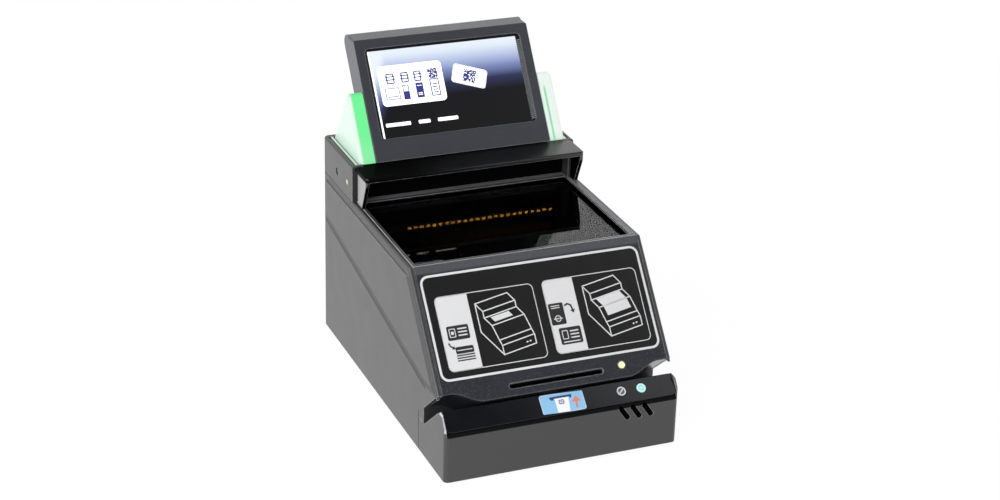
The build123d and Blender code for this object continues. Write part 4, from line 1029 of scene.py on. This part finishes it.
sign_shapes += [rounded_box(-30.0, -26.1, 36.6, 41.6, 0.4), rounded_box(-21.6, -17.0, 36.8, 46.0, 0.5)]
sign_shapes += inset_line(rounded_box(-12.4, -6.6, 36.9, 47.6, 0.6), 0.6)
sign_shapes += bars(-11.0, -7.9, 38.8, 1.7, 4, 0.6)
screen_layer("screen_signs", sign_shapes, 3, lit_blue)
mark_shapes = bars(-20.6, -18.0, 38.4, 1.0, 2, 0.5) + bars(-20.8, -17.8, 44.0, 1.0, 1, 0.4)
screen_layer("screen_sign_marks", mark_shapes, 4, lit_white)


# Two square codes of dots in the picture, one on the phone and one in the row of signs: a grid of small
# squares from which chance leaves some out.

def plate_part(name, wide, deep, thick):
    """A flat four-sided plate that stands on its middle"""
    mesh = bmesh.new()
    bmesh.ops.create_cube(mesh, size=1.0)
    bmesh.ops.scale(mesh, vec=(wide, deep, thick), verts=mesh.verts)
    return mesh_data(name, mesh)


def dot_code(name, centre, side, turn, seed):
    """A square code on the screen"""
    cells = 11
    dot = side / cells * MM
    sizes = {
        "Side": side * MM - dot,
        "Cells": cells,
        "Seed": seed,
        "Turn": (0.0, 0.0, turn),
        "Lean": (display_slope.lean, 0.0, 0.0),
        "Place": tuple(display_slope.point(*centre, -screen_sink + 4 * ink_thick)),
    }
    code = Recipe(name, plate_part(name + "_dot", dot * 1.06, dot * 1.06, 0.05 * MM), sizes)
    grid = code.grid("Side", "Side", code.size("Cells"))
    chance = {"Probability": 0.7, "Seed": code.size("Seed")}
    kept = code.add("FunctionNodeRandomValue", {"data_type": "BOOLEAN"}, chance).out(3)
    dots = code.step("InstanceOnPoints", Points=grid, Selection=kept, Instance=code.size("Part"))
    flat = code.step("Transform", Geometry=dots, Rotation=code.size("Turn"))
    leant = code.step("Transform", Geometry=flat, Rotation=code.size("Lean"),
                      Translation=code.size("Place"))
    piece = code.make(leant, lit_blue)
    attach(piece, "root")


dot_code("phone_code", phone_centre, 7.6, phone_turn, 21)
dot_code("sign_code", (-9.6, 50.9), 6.0, 0.0, 8)


# The right wall of the display's window: fine ribs moulded across its slope, in a plastic painted paler than
# the shell as a painted highlight, so that they show as a row of small steps.

rib_pitch = 1.15
rib_first = screen_low + 1.5
rib_last = screen_high - 1.0
rib_x = 48.85
rib_out = -1.25
wall_turn = -radians(47)
rib_sizes = {
    "Count": int((rib_last - rib_first) / rib_pitch),
    "Start": tuple(display_slope.point(rib_x, rib_first, rib_out)),
    "Step": tuple(display_slope.point(0, rib_pitch, 0) - display_slope.point(0, 0, 0)),
    "Lean": (display_slope.lean, 0.0, 0.0),
    "Slope": (0.0, wall_turn, 0.0),
}
ribs = Recipe("window_ribs", plate_part("rib", 3.0 * MM, 0.5 * MM, 0.35 * MM), rib_sizes)
sloped_rib = ribs.step("Transform", Geometry=ribs.size("Part"), Rotation=ribs.size("Slope"))
leaned_rib = ribs.step("Transform", Geometry=sloped_rib, Rotation=ribs.size("Lean"))
rib_places = ribs.step("MeshLine", Count=ribs.size("Count"), Start_Location=ribs.size("Start"),
                       Offset=ribs.size("Step"))
rib_row = ribs.step("InstanceOnPoints", Points=rib_places, Instance=leaned_rib)
rib_plastic = moulded("rib_plastic", (0.07, 0.075, 0.085), 0.25, grain=0.3, depth=0.2, edge=0.15,
                      highlight_tone=0.4)
rib_piece = ribs.make(rib_row, rib_plastic)
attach(rib_piece, "root")


# The two round keys in the polished strip, a grey and a mint green one, each with a printed sign. The signs
# go down with their keys.

bezel_slope = Slope(0.0, bezel_foot_height, 40.785)
key_up = 7.55
key_top = 0.3
left_key_x = 37.1
right_key_x = 49.6
dress(polished("key_grey", (0.11, 0.115, 0.13), 0.25), "left_key")
dress(printed("key_mint", (0.32, 0.72, 0.66), 0.3, 0.2), "right_key")
ring_print = inset_line(circle_points(left_key_x, key_up, 2.7), 0.75)
ring_print += line_quads([(left_key_x - 1.3, key_up - 1.1), (left_key_x + 1.3, key_up + 1.2)], 0.75)
sign_white = printed("sign_white", (0.72, 0.73, 0.76), 0.35)
print_layer("left_key_sign", ring_print, bezel_slope.point, key_top, key_top + ink_thick, sign_white,
            "left_key")
tick = [(right_key_x - 0.6, key_up + 0.7), (right_key_x, key_up - 0.3), (right_key_x + 1.0, key_up + 0.9)]
tick_print = inset_line(circle_points(right_key_x, key_up, 2.5), 0.55) + line_quads(tick, 0.4)
sign_pale = printed("sign_pale", (0.8, 0.92, 0.9), 0.35, 0.15)
print_layer("right_key_sign", tick_print, bezel_slope.point, key_top, key_top + ink_thick, sign_pale,
            "right_key")


# The small sticker: it shows how a document goes through the slot, as a sheet under a dark bar and an arrow.
# Its blue print has round corners and lies on a clear film, through which the strip shows.

def sticker_film():
    """Blue print with a pale rim. Round it lies a margin of clear film, black like the strip below"""
    surface = Surface("sticker_film")
    x, y, z = surface.position()
    low, high = measured("slot_sticker")
    low_up = bezel_slope.up(low.y, low.z)
    high_up = bezel_slope.up(high.y, high.z)
    corner = 1.5
    half_wide = (high.x - low.x) / 2 - 0.45
    half_high = (high_up - low_up) / 2 - 0.35
    across = abs(x - (low.x + high.x) / 2) - (half_wide - corner)
    along = abs(bezel_slope.up(y, z) - (low_up + high_up) / 2) - (half_high - corner)
    across = across.combine("MAXIMUM")
    along = along.combine("MAXIMUM")
    reach = (across * across + along * along).combine("SQRT")
    rim = reach.step(corner - 0.5, corner - 0.3) * 0.6
    surface.tint(rim, (0.29, 0.58, 0.86), (0.75, 0.86, 0.95))
    surface.paint(reach.step(corner, corner + 0.15), (0.004, 0.0045, 0.007))
    surface.feed("Roughness", 0.3 + surface.noise(1.2, 4.0) * 0.1)
    return surface


sticker_thick = 0.15
sticker_top = sticker_thick + ink_thick


def sticker_layer(name, shapes, low, surface):
    """One layer of the sticker's printing"""
    print_layer(name, shapes, bezel_slope.point, low, low + ink_thick, surface)


dress(sticker_film(), "slot_sticker")
sheet_shape = [[(-3.3, 1.3), (4.0, 1.3), (5.2, 10.2), (-3.3, 9.8)]]
# Painted light: the page's white print glows a little, though it is no lamp
page_glow_white = printed("sticker_white", (0.88, 0.89, 0.92), 0.35, 0.1)
sticker_layer("sticker_page", sheet_shape, sticker_thick, page_glow_white)
bar_left = [(7.1, 11.0), (-6.3, 11.0), (-6.2, 9.8), (-5.4, 9.0), (-3.9, 9.0), (-3.9, 9.8)]
bar_right = [(5.6, 9.8), (5.6, 9.0), (6.6, 9.0), (7.0, 9.8)]
bar_shape = [bar_left + bar_right]
bar_shape += inset_line(rounded_box(-1.3, 1.9, 6.1, 8.7, 0.7), 0.5) + bars(-0.3, 0.9, 7.1, 1.0, 1, 0.6)
sticker_layer("sticker_bar", bar_shape, sticker_top, printed("sticker_deep_blue", (0.03, 0.06, 0.22), 0.35))
arrow = [[(8.0, 2.6), (9.1, 2.7), (9.7, 6.3), (11.7, 6.4), (9.4, 9.6), (6.1, 6.4), (8.4, 6.3)]]
sticker_layer("sticker_arrow", arrow, sticker_thick, printed("sticker_orange", (0.83, 0.25, 0.14), 0.35))


# The data socket's contacts: two gilt strips on each side of its tongue, at the back of the housing. They
# stop just short of the socket's mouth.

def gilt():
    """Thin gold plate, rubbed by the plug"""
    surface = Surface("contact_gilt", Metallic=1.0)
    rub = surface.noise(0.5, 3.0)
    surface.tint(rub, (0.55, 0.38, 0.12), (0.75, 0.56, 0.22))
    surface.feed("Roughness", 0.2 + rub * 0.15)
    return surface


socket_low, socket_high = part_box("data_socket")
socket_middle = (socket_low + socket_high) / 2
contact_long = 6.0 * MM
contact_sizes = {
    "Apart": 2.6 * MM,
    "Rise": 3.3 * MM,
    "Stand": (radians(90), 0.0, 0.0),
    "Place": (socket_middle.x, socket_high.y - 0.8 * MM - contact_long / 2, socket_middle.z),
}
contacts = Recipe("socket_contacts", plate_part("contact", 1.0 * MM, contact_long, 0.1 * MM), contact_sizes)
contact_points = contacts.step("Transform", Geometry=contacts.grid("Apart", "Rise", 2),
                               Rotation=contacts.size("Stand"), Translation=contacts.size("Place"))
contact_set = contacts.step("InstanceOnPoints", Points=contact_points, Instance=contacts.size("Part"))
contact_piece = contacts.make(contact_set, gilt())
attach(contact_piece, "root")
